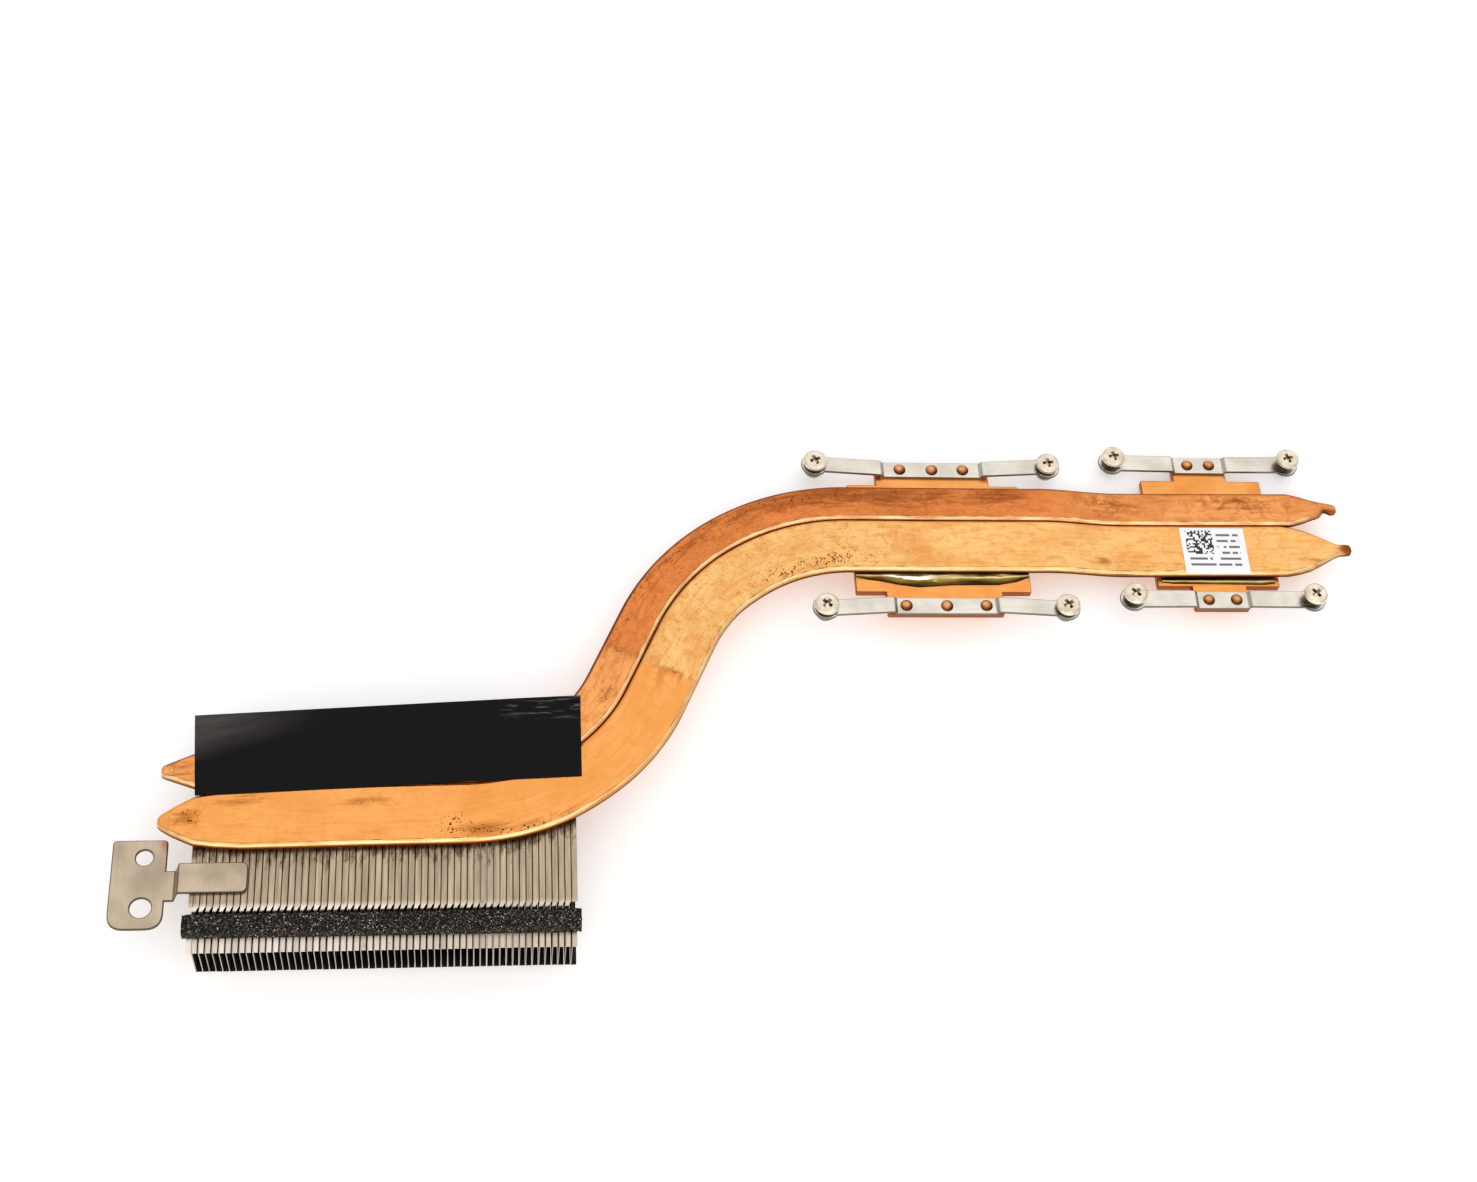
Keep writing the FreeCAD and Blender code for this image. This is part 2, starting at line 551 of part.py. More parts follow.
def make_tape():
    """The tape over both pipes, with its back edge free behind the fins."""
    body = add_body("black_tape", z=PIPE_TOP)
    outline = add_sketch(body, "outline", "XY_Plane")
    add_outline(outline, [
        ("-dim.tape_near_left", "dim.groove_y - dim.tape_lap_left"),
        ("dim.tape_right", "dim.groove_y + dim.tape_lap_right"),
        ("dim.tape_right", "dim.groove_y + dim.tape_back_right"),
        ("-dim.tape_far_left", "dim.groove_y + dim.tape_back_left"),
    ])
    add_pad(body, outline, "dim.tape_sheet")
    return body


def make_label():
    """The sticker on the large pipe's flat, over the narrow plate."""
    top = f"({PIPE_TOP} - dim.step_drop)"
    body = add_body("label", f"{ROW_X} + dim.label_x", f"{ROW_Y} + {LARGE_OFFSET}", top)
    outline = add_sketch(body, "outline", "XY_Plane")
    half_width, half_depth = "dim.label_width / 2", "dim.label_depth / 2"
    add_outline(outline, [
        (f"-{half_width}", f"-{half_depth}"), (half_width, f"-{half_depth}"),
        (half_width, half_depth), (f"-{half_width}", half_depth),
    ])
    add_pad(body, outline, "dim.label_sheet")
    return body


def make_solder(label, top, x, width, run, rise):
    """A solder bead on a plate, along the near side of the large pipe."""
    start = f"{x} - {width} / 2 + dim.solder_inset"
    body = add_body(label, start, f"{LARGE_NEAR_EDGE} - dim.solder_gap", top)
    section = add_sketch(body, "section", "YZ_Plane")
    add_outline(section, [(f"-{run}", "0"), ("0", "0"), ("0", rise)])
    add_pad(body, section, f"{width} - 2 * dim.solder_inset")
    return body


def make_all():
    parts = [
        make_fin_stack(),
        make_pipe("large_heat_pipe", "dim.large_width", LARGE_OFFSET, "dim.tail_start", "dim.tail_length"),
        make_pipe("small_heat_pipe", "dim.small_width", SMALL_OFFSET, "dim.small_tail_start",
                  "dim.small_tail_length"),
        make_bracket(),
        make_foam(),
        make_tape(),
        make_label(),
    ]
    plates = (("wide", "dim.fin_height", "dim.wide_lift"), ("narrow", LOW_TOP, "dim.narrow_lift"))
    for names, top, lift in plates:
        x = f"({ROW_X} + dim.{names}_x)"
        y = f"({ROW_Y} - dim.{names}_inset)"
        parts.append(make_plate(f"{names}_cold_plate", top, (x, y), names))
        parts.append(make_solder(f"{names}_solder_bead", top, x, f"dim.{names}_width",
                                 f"dim.{names}_solder", f"dim.{names}_solder_rise"))
        seat = f"{top} + dim.arm_joggle + dim.arm_thickness + {lift}"
        for side in ("near", "far"):
            parts.append(make_arm(f"{names}_{side}_arm", top, (x, y), names, side))
            for number, rivet_x in enumerate(rivet_places(names, side), start=1):
                parts.append(make_rivet(f"{names}_{side}_rivet_{number}", f"{x} + {rivet_x}",
                                        f"{y} + {arm_line(names, side)}", top))
            for end, hand in (("left", "-"), ("right", "+")):
                screw_x = f"{x} {hand} dim.{names}_screws_x / 2"
                screw_y = f"{y} + {screw_line(names, side)}"
                place = f"{names}_{side}_{end}"
                parts.append(make_screw(f"{place}_screw", screw_x, screw_y, seat))
                parts.append(make_ring(f"{place}_ring", screw_x, screw_y, seat))
    return parts


sub_parts = make_all()
doc.recompute()

for item in doc.Objects:
    if "Invalid" in item.State or "Error" in item.State:
        raise ValueError(f"{item.Label} failed: {item.State}")
for part in sub_parts:
    if part.Shape.isNull() or not part.Shape.isValid():
        raise ValueError(f"{part.Label} has no valid shape")

os.makedirs("parts", exist_ok=True)
for part in sub_parts:
    part.Shape.exportStep(f"parts/{part.Label}.step")
    print(f"{part.Label}: {len(part.Shape.Solids)} solids, {part.Shape.Volume:.2f} mm3")
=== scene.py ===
import math
import bmesh
import bpy
from mathutils import Matrix, Vector, noise


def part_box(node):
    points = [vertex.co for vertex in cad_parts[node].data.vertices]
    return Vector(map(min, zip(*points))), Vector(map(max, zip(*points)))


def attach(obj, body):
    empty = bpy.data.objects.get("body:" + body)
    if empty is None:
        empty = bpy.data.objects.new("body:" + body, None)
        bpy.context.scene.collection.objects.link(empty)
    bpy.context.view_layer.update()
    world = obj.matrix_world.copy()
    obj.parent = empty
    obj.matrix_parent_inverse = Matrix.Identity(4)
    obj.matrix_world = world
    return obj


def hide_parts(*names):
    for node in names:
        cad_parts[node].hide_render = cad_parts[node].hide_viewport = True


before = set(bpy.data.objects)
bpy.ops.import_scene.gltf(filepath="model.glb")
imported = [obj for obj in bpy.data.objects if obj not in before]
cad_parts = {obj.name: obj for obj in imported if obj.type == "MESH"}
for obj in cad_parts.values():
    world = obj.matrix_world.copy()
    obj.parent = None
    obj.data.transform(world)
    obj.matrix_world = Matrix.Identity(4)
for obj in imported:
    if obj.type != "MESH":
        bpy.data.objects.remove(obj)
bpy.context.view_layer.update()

MM = 0.001


def box_mm(node):
    """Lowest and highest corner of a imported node, in millimetres."""
    return [[c / MM for c in corner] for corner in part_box(node)]


# Lengths are millimetres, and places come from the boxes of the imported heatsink.
FIN_COUNT, FIN_PITCH, FIN_SHEET, FIN_GAP, FIN_WEB, FIN_BEND = 58, 1.15, 0.2, 0.085, 0.14, 0.2
LEDGE_HEIGHT, LEDGE_DEPTH = 8.8, 6.9
TOP_FRONT, RAMP_ROUND, FRONT_LIP, LIP_DROP = 7.8, 1.4, 2.6, 0.35
(FIN_LEFT, FIN_FRONT, _), (_, FIN_BACK, FIN_HEIGHT) = box_mm("fin_stack")
FIN_DEPTH = FIN_BACK - FIN_FRONT

# The groove between the pipes: along the fins, through two bends, and straight on over the plates.
GROOVE_Y, BEND_X = FIN_FRONT + 30.6, FIN_LEFT + 46.15
BEND_TURN, BEND_RUN = math.radians(65.1), 15.5
FIRST_RADIUS, SECOND_RADIUS = 33.3, 42.45
FIRST_ARC, SECOND_ARC = FIRST_RADIUS * BEND_TURN, SECOND_RADIUS * BEND_TURN
ROW_START = FIRST_ARC + BEND_RUN + SECOND_ARC
LARGE_END, SMALL_END = ROW_START + 104.8, ROW_START + 103.4
NOSE_TIP = box_mm("large_heat_pipe")[0][0] - BEND_X
PIPE_THICK, PIPE_LOW = 1.9, FIN_HEIGHT
STEP_START, STEP_RUN, STEP_DROP = ROW_START + 40.0, 16.5, 1.6
# Distance from the tip against full width, for the spun noses and the pinched filling ends.
LARGE_NOSE = [(0.0, 1.9), (0.8, 3.3), (2.6, 5.7), (6.2, 9.5), (10.0, 10.9), (15.0, 11.9)]
SMALL_NOSE = [(0.0, 1.9), (0.8, 2.8), (2.6, 4.3), (6.2, 7.3), (9.0, 7.9)]
LARGE_TAIL = [(0.0, 1.7), (0.5, 2.5), (1.4, 2.7), (2.6, 2.7), (3.9, 3.6), (5.8, 5.8), (9.5, 9.6),
              (12.0, 11.0), (14.5, 11.9)]
SMALL_TAIL = [(0.0, 1.7), (0.5, 2.3), (1.3, 2.7), (3.1, 3.4), (5.3, 4.5), (7.8, 6.4), (10.4, 7.9)]

PLATES = {
    "wide": dict(depth=25.4, tab=23.4, arms=32.3, arm_width=3.5, seat=19.8, screws=(48.1, 33.8)),
    "narrow": dict(depth=25.8, tab=11.4, arms=32.8, arm_width=3.8, seat=10.4, screws=(37.5, 33.0))}
for plate, sizes in PLATES.items():
    lowest, highest = box_mm(f"{plate}_cold_plate")
    sizes.update(x=(lowest[0] + highest[0]) / 2, y=(lowest[1] + highest[1]) / 2,
                 width=highest[0] - lowest[0], low=lowest[2])
SIDES, ENDS = {"near": -1, "far": 1}, {"left": -1, "right": 1}
PLATE_THICK, PLATE_CORNER, PLATE_EDGE, TAB_INSET = 1.5, 0.4, 0.15, 0.2
ARM_THICK, ARM_EDGE, JOGGLE, JOGGLE_RUN = 0.6, 0.13, 0.6, 0.7
EYELET, EYELET_HOLE = 5.4, 2.5


def colour(text):
    """Linear colour from an sRGB hex value."""
    channels = [int(text[i:i + 2], 16) / 255 for i in (1, 3, 5)]
    return tuple(c / 12.92 if c <= 0.04045 else ((c + 0.055) / 1.055) ** 2.4 for c in channels) + (1.0,)


def feed(tree, node, sockets):
    """Gives a node's sockets their links or constants."""
    for key, value in sockets.items():
        if isinstance(value, bpy.types.NodeSocket):
            tree.links.new(value, node.inputs[key])
        else:
            node.inputs[key].default_value = value


def add(tree, kind, sockets=None, stops=(), out=0, **settings):
    """Adds a node with its settings, stops and sockets; gives one output, or all where out is None."""
    made = tree.nodes.new(kind)
    for key, value in settings.items():
        setattr(made, key, value)
    if stops:
        ramp = made.color_ramp.elements
        for end in (0, -1):
            ramp[end].position, ramp[end].color = stops[end][0], colour(stops[end][1])
        for place, shade in stops[1:-1]:
            ramp.new(place).color = colour(shade)
    feed(tree, made, sockets or {})
    return made.outputs if out is None else made.outputs[out]


def several(tree, kind, keys, rows, **settings):
    """Nodes of one kind, from rows of values for the same sockets."""
    return [add(tree, kind, dict(zip(keys, row)), **settings) for row in rows]


def product(tree, value, *others):
    """Several values multiplied."""
    for other in others:
        value = add(tree, "ShaderNodeMath", {0: value, 1: other}, operation="MULTIPLY")
    return value


def layered(tree, tone, *layers):
    """A tone with others laid over it, each by its share."""
    for share, shade in layers:
        over = colour(shade) if isinstance(shade, str) else shade
        tone = add(tree, "ShaderNodeMix", {0: share, 6: tone, 7: over}, out=2, data_type="RGBA")
    return tone


def within(tree, value, low, high):
    """One where the value lies between two limits in millimetres."""
    above = add(tree, "ShaderNodeMath", {0: value, 1: low * MM}, operation="GREATER_THAN")
    below = add(tree, "ShaderNodeMath", {0: value, 1: high * MM}, operation="LESS_THAN")
    return product(tree, above, below)


def per_mm(size):
    """Texture scale at which one cell is size millimetres."""
    return 1.0 / (size * MM)


def material(name, metallic, roughness):
    """A material with its shader; the caller links what varies."""
    made = bpy.data.materials.new(name)
    made.use_nodes = True
    tree = made.node_tree
    shader = next(n for n in tree.nodes if n.type == "BSDF_PRINCIPLED")
    feed(tree, shader, {"Metallic": metallic, "Roughness": roughness})
    return made, tree, shader


NOISE = ("Vector", "Scale", "Detail", "Roughness", "Distortion")
# a source, two of its values, and what they are turned into
RANGE = (0, 1, 2, 3, 4)


def drawn_copper(name, smooth, peeled, dull, dark, brown):
    """Drawn copper pipe: polished flats, grain where it was bent, clouds, water marks, pits, dark tail tips,
    a painted highlight along the near rounded edge and painted shade on the sides.
    """
    made, tree, shader = material(name, 1.0, 0.3)
    run, wear, edge = (add(tree, "ShaderNodeAttribute", out="Vector", attribute_name=layer)
                       for layer in ("run", "wear", "edge"))
    pits, peel, smoke = add(tree, "ShaderNodeSeparateXYZ", {0: wear}, out=None)
    # the edge attribute holds painted shade (with the dark tail tips), the painted highlight and the
    # stretched skin
    side, painted_highlight, stretched = add(tree, "ShaderNodeSeparateXYZ", {0: edge}, out=None)
    drawn, slow = several(tree, "ShaderNodeMapping", ("Vector", "Scale"),
                          ((run, (0.16, 1.0, 1.0)), (run, (0.45, 1.0, 1.0))))
    clouds, mottle, streaks, grain, fray, drops = several(tree, "ShaderNodeTexNoise", NOISE, (
        (slow, per_mm(6), 7.0, 0.62),
        (run, per_mm(1.7), 5.0, 0.65, 0.5),
        (drawn, per_mm(0.9), 4.0),
        (run, per_mm(0.34), 2.0, 0.6),
        (drawn, per_mm(0.9), 7.0, 0.66),
        (run, per_mm(5), 5.0, 0.5, 0.6)))
    cells = add(tree, "ShaderNodeTexVoronoi", {"Vector": run, "Scale": per_mm(0.52)}, out="Distance")
    # a stain is a painted mask with ragged edges, and a shore the thin line that a dried drop left inside it
    ragged = add(tree, "ShaderNodeMath", {0: fray, 1: 2.0, 2: smoke}, operation="MULTIPLY_ADD")
    shore, crease = several(tree, "ShaderNodeMath", (0, 1, 2), ((drops, 0.55, 0.012), (peel, 0.4, 0.3)),
                            operation="COMPARE")
    dullness = add(tree, "ShaderNodeMath", {0: clouds, 1: stretched}, operation="ADD")
    (cloudy, patchy, streaky, grainy, patches, stain, worn,
     broken) = several(tree, "ShaderNodeMapRange", RANGE, (
        (clouds, 0.45, 0.7, 0.0, 0.7),
        (mottle, 0.5, 0.68, 0.0, 0.55),
        (streaks, 0.5, 0.72, 0.0, 0.6),
        (grain, 0.5, 0.64, 0.0, 0.6),
        (mottle, 0.38, 0.6, 0.15, 1.0),
        (ragged, 1.4, 2.05, 0.0, 0.72),
        (smoke, 0.1, 1.0, 0.0, 0.6),
        (mottle, 0.46, 0.56, 0.0, 0.8)))
    reach, thinned, uneven, rough, skin = several(tree, "ShaderNodeMapRange", RANGE, (
        (pits, 0.0, 1.0, 0.02, 0.5),
        (mottle, 0.38, 0.58, 0.0, 1.0),
        (streaks, 0.62, 0.42, 0.3, 1.0),
        (dullness, 0.35, 1.5, 0.19, 0.34),
        (stretched, 0.0, 1.0, 0.12, 0.6)))
    # pits gather where the painted mask says and are rare elsewhere
    pit = add(tree, "ShaderNodeMath", {0: cells, 1: product(tree, reach, thinned)}, operation="LESS_THAN")
    # a painted highlight along the near rounded edge, broken in strokes, and painted shade on the sides below
    # it, in the groove and along the far edges; the same dark share also darkens the tail tips
    tone = layered(
        tree, colour(smooth), (peel, peeled), (cloudy, dull), (patchy, dull), (streaky, dull),
        (product(tree, grainy, stretched, patches), dark), (stain, brown),
        (product(tree, shore, worn), brown), (product(tree, crease, broken, smoke), brown), (pit, "#642a10"),
        (product(tree, painted_highlight, uneven), "#ffe1a4"), (side, "#6a230b"))
    rough = add(tree, "ShaderNodeMath", {0: side, 1: 0.45, 2: rough}, operation="MULTIPLY_ADD")
    below = {}
    for height, strength, depth in ((grain, skin, 0.12), (mottle, 0.35, 0.2), (streaks, 0.25, 0.08)):
        bumps = {"Height": height, "Strength": strength, "Distance": depth * MM, **below}
        below = {"Normal": add(tree, "ShaderNodeBump", bumps)}
    feed(tree, shader, {"Base Color": tone, "Roughness": rough, **below})
    return made


def rolled_metal(name, bright, dull, edge, roughness, grain, cloud, stretch=(1.0, 1.0, 1.0)):
    """Rolled or plated sheet: two tones in soft clouds, fine rolling grain, uneven gloss, and an edge tone
    for cut edges and painted shade.
    """
    made, tree, shader = material(name, 1.0, roughness)
    place = add(tree, "ShaderNodeTexCoord", out="Object")
    rolled = add(tree, "ShaderNodeMapping", {"Vector": place, "Scale": stretch})
    clouds, lines = several(tree, "ShaderNodeTexNoise", NOISE,
                            ((place, per_mm(cloud), 4.0), (rolled, per_mm(grain), 3.0)))
    lined, gloss = several(tree, "ShaderNodeMapRange", RANGE, (
        (lines, 0.5, 0.75, 0.0, 0.35), (lines, 0.3, 0.7, roughness - 0.06, roughness + 0.1)))
    # the edge tone goes where the mesh marks cut edges and painted shade
    painted_shade_and_cut_edge = add(tree, "ShaderNodeAttribute", out="Fac", attribute_name="painted_shade_and_cut_edge")
    tone = add(tree, "ShaderNodeValToRGB", {"Fac": clouds}, [(0.38, bright), (0.68, dull)])
    tone = layered(tree, tone, (lined, dull), (painted_shade_and_cut_edge, edge))
    bump = add(tree, "ShaderNodeBump", {"Height": lines, "Strength": 0.2, "Distance": 0.05 * MM})
    feed(tree, shader, {"Base Color": tone, "Roughness": gloss, "Normal": bump})
    return made


def fin_nickel():
    """Plated fins: tan tops with fine strokes, a lighter front that is partly cleaner plating and partly
    painted highlight, flux stains by the pipe, and painted shade in the channels.
    """
    made, tree, shader = material("nickel_plated_fin", 1.0, 0.36)
    place = add(tree, "ShaderNodeTexCoord", out="Object")
    rolled, strokes = several(tree, "ShaderNodeMapping", ("Vector", "Scale"),
                              ((place, (1.0, 0.06, 1.0)), (place, (1.0, 0.3, 1.0))))
    lines, spots = several(tree, "ShaderNodeTexNoise", NOISE,
                           ((rolled, per_mm(0.6), 3.0), (strokes, per_mm(1.1), 6.0, 0.68)))
    x, y, z = add(tree, "ShaderNodeSeparateXYZ", {0: place}, out=None)
    # each fin is a little lighter or darker than its neighbours
    order = add(tree, "ShaderNodeMath", {0: x, 1: per_mm(FIN_PITCH), 2: 0.1 - FIN_LEFT / FIN_PITCH},
                operation="MULTIPLY_ADD")
    order = add(tree, "ShaderNodeMath", {0: order}, operation="FLOOR")
    chance = add(tree, "ShaderNodeTexWhiteNoise", {"W": order}, out="Value", noise_dimensions="1D")
    # the pipe's front edge curves away to the back from the first bend on
    over = add(tree, "ShaderNodeMath", {0: x, 1: BEND_X * MM}, operation="SUBTRACT")
    over = add(tree, "ShaderNodeMath", {0: over, 1: 0.0}, operation="MAXIMUM")
    behind = add(tree, "ShaderNodeMath", {0: product(tree, over, over), 1: -11.0, 2: y},
                 operation="MULTIPLY_ADD")
    clean_and_lit_front, far_end, darker, close, top, mouth, gloss = several(tree, "ShaderNodeMapRange", RANGE, (
        (y, -45.2 * MM, -46.2 * MM, 0.0, 1.0),
        (x, -90.0 * MM, -55.0 * MM, 0.0, 1.0),
        (chance, 0.2, 1.0, 0.0, 0.3),
        (behind, -40.0 * MM, -36.0 * MM, 0.0, 0.23),
        (z, 10.2 * MM, 10.7 * MM, 0.0, 1.0),
        (y, -24.5 * MM, -16.5 * MM, 1.0, 0.3),
        (lines, 0.3, 0.7, 0.28, 0.42)))
    stained = add(tree, "ShaderNodeMath", {0: spots, 1: product(tree, close, top)}, operation="ADD")
    # painted shade in the channels, strongest toward the front; where it is full the surface is dull and not
    # metallic
    web = add(tree, "ShaderNodeAttribute", out="Fac", attribute_name="web")
    web = product(tree, web, mouth)
    stain, bare = several(tree, "ShaderNodeMapRange", RANGE, (
        (stained, 0.64, 0.78, 0.0, 0.85), (web, 0.0, 1.0, 1.0, 0.0)))
    tone = add(tree, "ShaderNodeValToRGB", {"Fac": lines}, [(0.3, "#d2bda2"), (0.72, "#a8937a")])
    # the front flanges and ramp are lighter, partly as cleaner plating and partly as painted highlight, and
    # less so toward the right end
    flange = layered(tree, colour("#f6eadb"), (far_end, "#d9c9b4"))
    tone = layered(tree, tone, (clean_and_lit_front, flange), (darker, "#7d6c58"), (stain, "#54442f"), (web, "#0e0b09"))
    gloss = add(tree, "ShaderNodeMath", {0: web, 1: 0.5, 2: gloss}, operation="MULTIPLY_ADD")
    bump = add(tree, "ShaderNodeBump", {"Height": lines, "Strength": 0.2, "Distance": 0.05 * MM})
    feed(tree, shader, {"Base Color": tone, "Roughness": gloss, "Metallic": bare, "Normal": bump})
    return made


def solder_finish():
    """Reflowed solder: a mirror-like bead with painted reflection across it, brown by the pipe, a light band,
    olive gold below and dark at its rim, and a painted highlight.
    """
    made, tree, shader = material("flowed_solder", 1.0, 0.1)
    flow = add(tree, "ShaderNodeAttribute", out="Fac", attribute_name="flow")
    place = add(tree, "ShaderNodeTexCoord", out="Object")
    drawn = add(tree, "ShaderNodeMapping", {"Vector": place, "Scale": (0.16, 1.0, 1.0)})
    waves = add(tree, "ShaderNodeTexNoise", {"Vector": drawn, "Scale": per_mm(0.9), "Detail": 4.0})
    along = add(tree, "ShaderNodeSeparateXYZ", {0: place})
    shift, start, stop, gloss = several(tree, "ShaderNodeMapRange", RANGE, (
        (waves, 0.3, 0.7, -0.16, 0.16),
        (along, 21.5 * MM, 23.5 * MM, 0.0, 0.9),
        (along, 30.5 * MM, 33.0 * MM, 1.0, 0.0),
        (waves, 0.3, 0.7, 0.06, 0.16)))
    level = add(tree, "ShaderNodeMath", {0: flow, 1: shift}, operation="ADD")
    ridge = add(tree, "ShaderNodeMath", {0: level, 1: 0.42, 2: 0.13}, operation="COMPARE")
    # the tone across the bead is painted reflection: dark by the pipe, a light band, olive gold lower down
    # and dark at its rim
    tone = add(tree, "ShaderNodeValToRGB", {"Fac": level},
               [(0.0, "#1d1006"), (0.18, "#5a4824"), (0.4, "#d9c48c"), (0.55, "#9c8038"), (0.78, "#5d461c"),
                (1.0, "#2e2109")])
    # a painted highlight along the light band, over a span in the left part of the wide bead
    tone = layered(tree, tone, (product(tree, start, stop, ridge), "#fffcee"))
    feed(tree, shader, {"Base Color": tone, "Roughness": gloss})
    return made


def foam_finish():
    """Open-cell foam: a charcoal web of struts, painted shade in its black pores and small painted glints."""
    made, tree, shader = material("open_cell_foam", 0.0, 0.85)
    place = add(tree, "ShaderNodeTexCoord", out="Object")
    cells = add(tree, "ShaderNodeTexVoronoi", {"Vector": place, "Scale": per_mm(0.3)}, out=None)
    # the pores are painted shade, black at each cell's middle, with the charcoal struts between
    tone = add(tree, "ShaderNodeValToRGB", {"Fac": cells["Distance"]},
               [(0.2, "#020202"), (0.55, "#0b0907"), (0.95, "#75685a")])
    # painted glints: a few cells lit white at their middles
    glint = add(tree, "ShaderNodeSeparateColor", {0: cells["Color"]})
    lit = add(tree, "ShaderNodeMath", {0: glint, 1: 0.9}, operation="GREATER_THAN")
    core = add(tree, "ShaderNodeMath", {0: cells["Distance"], 1: 0.3}, operation="LESS_THAN")
    tone = layered(tree, tone, (product(tree, lit, core), "#f4f1eb"))
    feed(tree, shader, {"Base Color": tone, "Specular IOR Level": 0.25})
    return made


def tape_finish():
    """Black plastic film: faint grain, a painted sheen in a grey band across one end and painted highlights
    on the creases of a crumpled corner.
    """
    made, tree, shader = material("black_film_tape", 0.0, 0.36)
    sheet = add(tree, "ShaderNodeAttribute", out="Vector", attribute_name="sheet")
    slant = add(tree, "ShaderNodeMapping", {"Vector": sheet, "Rotation": (0.0, 0.0, -0.30)})
    streak = add(tree, "ShaderNodeMapping", {"Vector": slant, "Scale": (0.2, 1.0, 1.0)})
    creased = add(tree, "ShaderNodeMapping",
                  {"Vector": sheet, "Rotation": (0.0, 0.0, 0.12), "Scale": (0.14, 1.0, 1.0)})
    grain, hairs, folds = several(tree, "ShaderNodeTexNoise", NOISE, (
        (sheet, per_mm(0.6), 3.0), (streak, per_mm(2.4), 3.0), (creased, per_mm(0.8), 4.0)))
    along, across, _ = add(tree, "ShaderNodeSeparateXYZ", {0: slant}, out=None)
    right, up, _ = add(tree, "ShaderNodeSeparateXYZ", {0: sheet}, out=None)
    band, fade = several(tree, "ShaderNodeMapRange", RANGE, (
        (across, 5.5 * MM, 11.5 * MM, 0.0, 1.0), (along, 30.0 * MM, 0.0, 0.0, 1.0)),
        interpolation_type="SMOOTHSTEP")
    last, upper, ridges = several(tree, "ShaderNodeMapRange", RANGE, (
        (right, 52.0 * MM, 62.0 * MM, 0.0, 1.0),
        (up, 15.0 * MM, 17.2 * MM, 0.0, 1.0),
        (folds, 0.55, 0.64, 0.0, 0.9)))
    tone = add(tree, "ShaderNodeValToRGB", {"Fac": grain}, [(0.3, "#080707"), (0.7, "#0f0d0e")])
    # a painted sheen in a slanted grey band fading along the tape, and painted highlights on the creases of
    # the far right corner
    tone = layered(tree, tone, (product(tree, band, fade, hairs), "#635a57"),
                   (product(tree, last, upper, ridges), "#6e6868"))
    feed(tree, shader, {"Base Color": tone, "Specular IOR Level": 0.1})
    return made


def paper_finish():
    """White paper label printed with plain blocks: a square of random cells and broken grey bars."""
    made, tree, shader = material("printed_paper_label", 0.0, 0.55)
    sheet = add(tree, "ShaderNodeAttribute", out="Vector", attribute_name="sheet")
    across, up, _ = add(tree, "ShaderNodeSeparateXYZ", {0: sheet}, out=None)
    fibre = add(tree, "ShaderNodeTexNoise", {"Vector": sheet, "Scale": per_mm(0.5), "Detail": 3.0})
    bar_row = 1.42
    inks = []
    for wide, high, rare in ((0.38, 0.38, 0.5), (0.55, bar_row, 0.22)):
        cell = (per_mm(wide), per_mm(high), 1.0)
        grid = add(tree, "ShaderNodeVectorMath", {0: sheet, 1: cell}, operation="MULTIPLY")
        grid = add(tree, "ShaderNodeVectorMath", {0: grid}, operation="FLOOR")
        dice = add(tree, "ShaderNodeTexWhiteNoise", {"Vector": grid}, out="Value", noise_dimensions="2D")
        inks.append(add(tree, "ShaderNodeMath", {0: dice, 1: rare}, operation="GREATER_THAN"))
    tall = within(tree, up, 4.6, 10.3)
    block = product(tree, within(tree, across, 1.0, 6.7), tall, inks[0])
    row = add(tree, "ShaderNodeMath", {0: up, 1: bar_row * MM}, operation="MODULO")
    right = product(tree, within(tree, across, 7.5, 12.2), tall)
    low = product(tree, within(tree, across, 1.3, 12.0), within(tree, up, 1.2, 4.0))
    area = add(tree, "ShaderNodeMath", {0: right, 1: low}, operation="ADD")
    bars = product(tree, area, within(tree, row, 0.4, 0.95), inks[1], 0.85)
    tone = add(tree, "ShaderNodeValToRGB", {"Fac": fibre}, [(0.3, "#ffffff"), (0.7, "#fafafb")])
    tone = layered(tree, tone, (block, "#26242a"), (bars, "#2c2a30"))
    feed(tree, shader, {"Base Color": tone})
    return made


LARGE_COPPER = drawn_copper("drawn_copper_large_pipe", "#fbad60", "#fec97f", "#ea9648", "#c87a3a", "#a4561d")
SMALL_COPPER = drawn_copper("drawn_copper_small_pipe", "#fbaa64", "#ec8d4b", "#c9733a", "#a2562a", "#8a421b")
ROLLED_ALONG, ROLLED_ACROSS = (0.1, 1.0, 1.0), (1.0, 0.1, 1.0)
# the third colour of each rolled metal is for its cut edges and painted shade
PLATE_COPPER = rolled_metal("rolled_copper_plate", "#fdae62", "#f09a4f", "#7a3514", 0.3, 0.5, 7.0,
                            ROLLED_ALONG)
RIVET_COPPER = rolled_metal("peened_copper_rivet", "#ffb577", "#dc8f57", "#5e2a10", 0.22, 0.4, 1.2)
FIN_NICKEL = fin_nickel()
BRACKET_STEEL = rolled_metal("nickel_plated_bracket", "#d0bda4", "#b5a28a", "#3d3328", 0.33, 0.4, 6.0,
                             ROLLED_ACROSS)
ARM_STEEL = rolled_metal("stainless_spring_arm", "#eee8dc", "#d6cebf", "#55504a", 0.3, 0.4, 5.0, ROLLED_ALONG)
SCREW_NICKEL = rolled_metal("nickel_plated_screw", "#f8ebd6", "#d8c8ac", "#5b4f38", 0.24, 0.5, 1.6)
RING_STEEL = rolled_metal("stamped_steel_ring", "#b9b6ae", "#8f8c84", "#5c5a55", 0.4, 0.4, 2.0)
SOLDER, FOAM, TAPE, PAPER = solder_finish(), foam_finish(), tape_finish(), paper_finish()


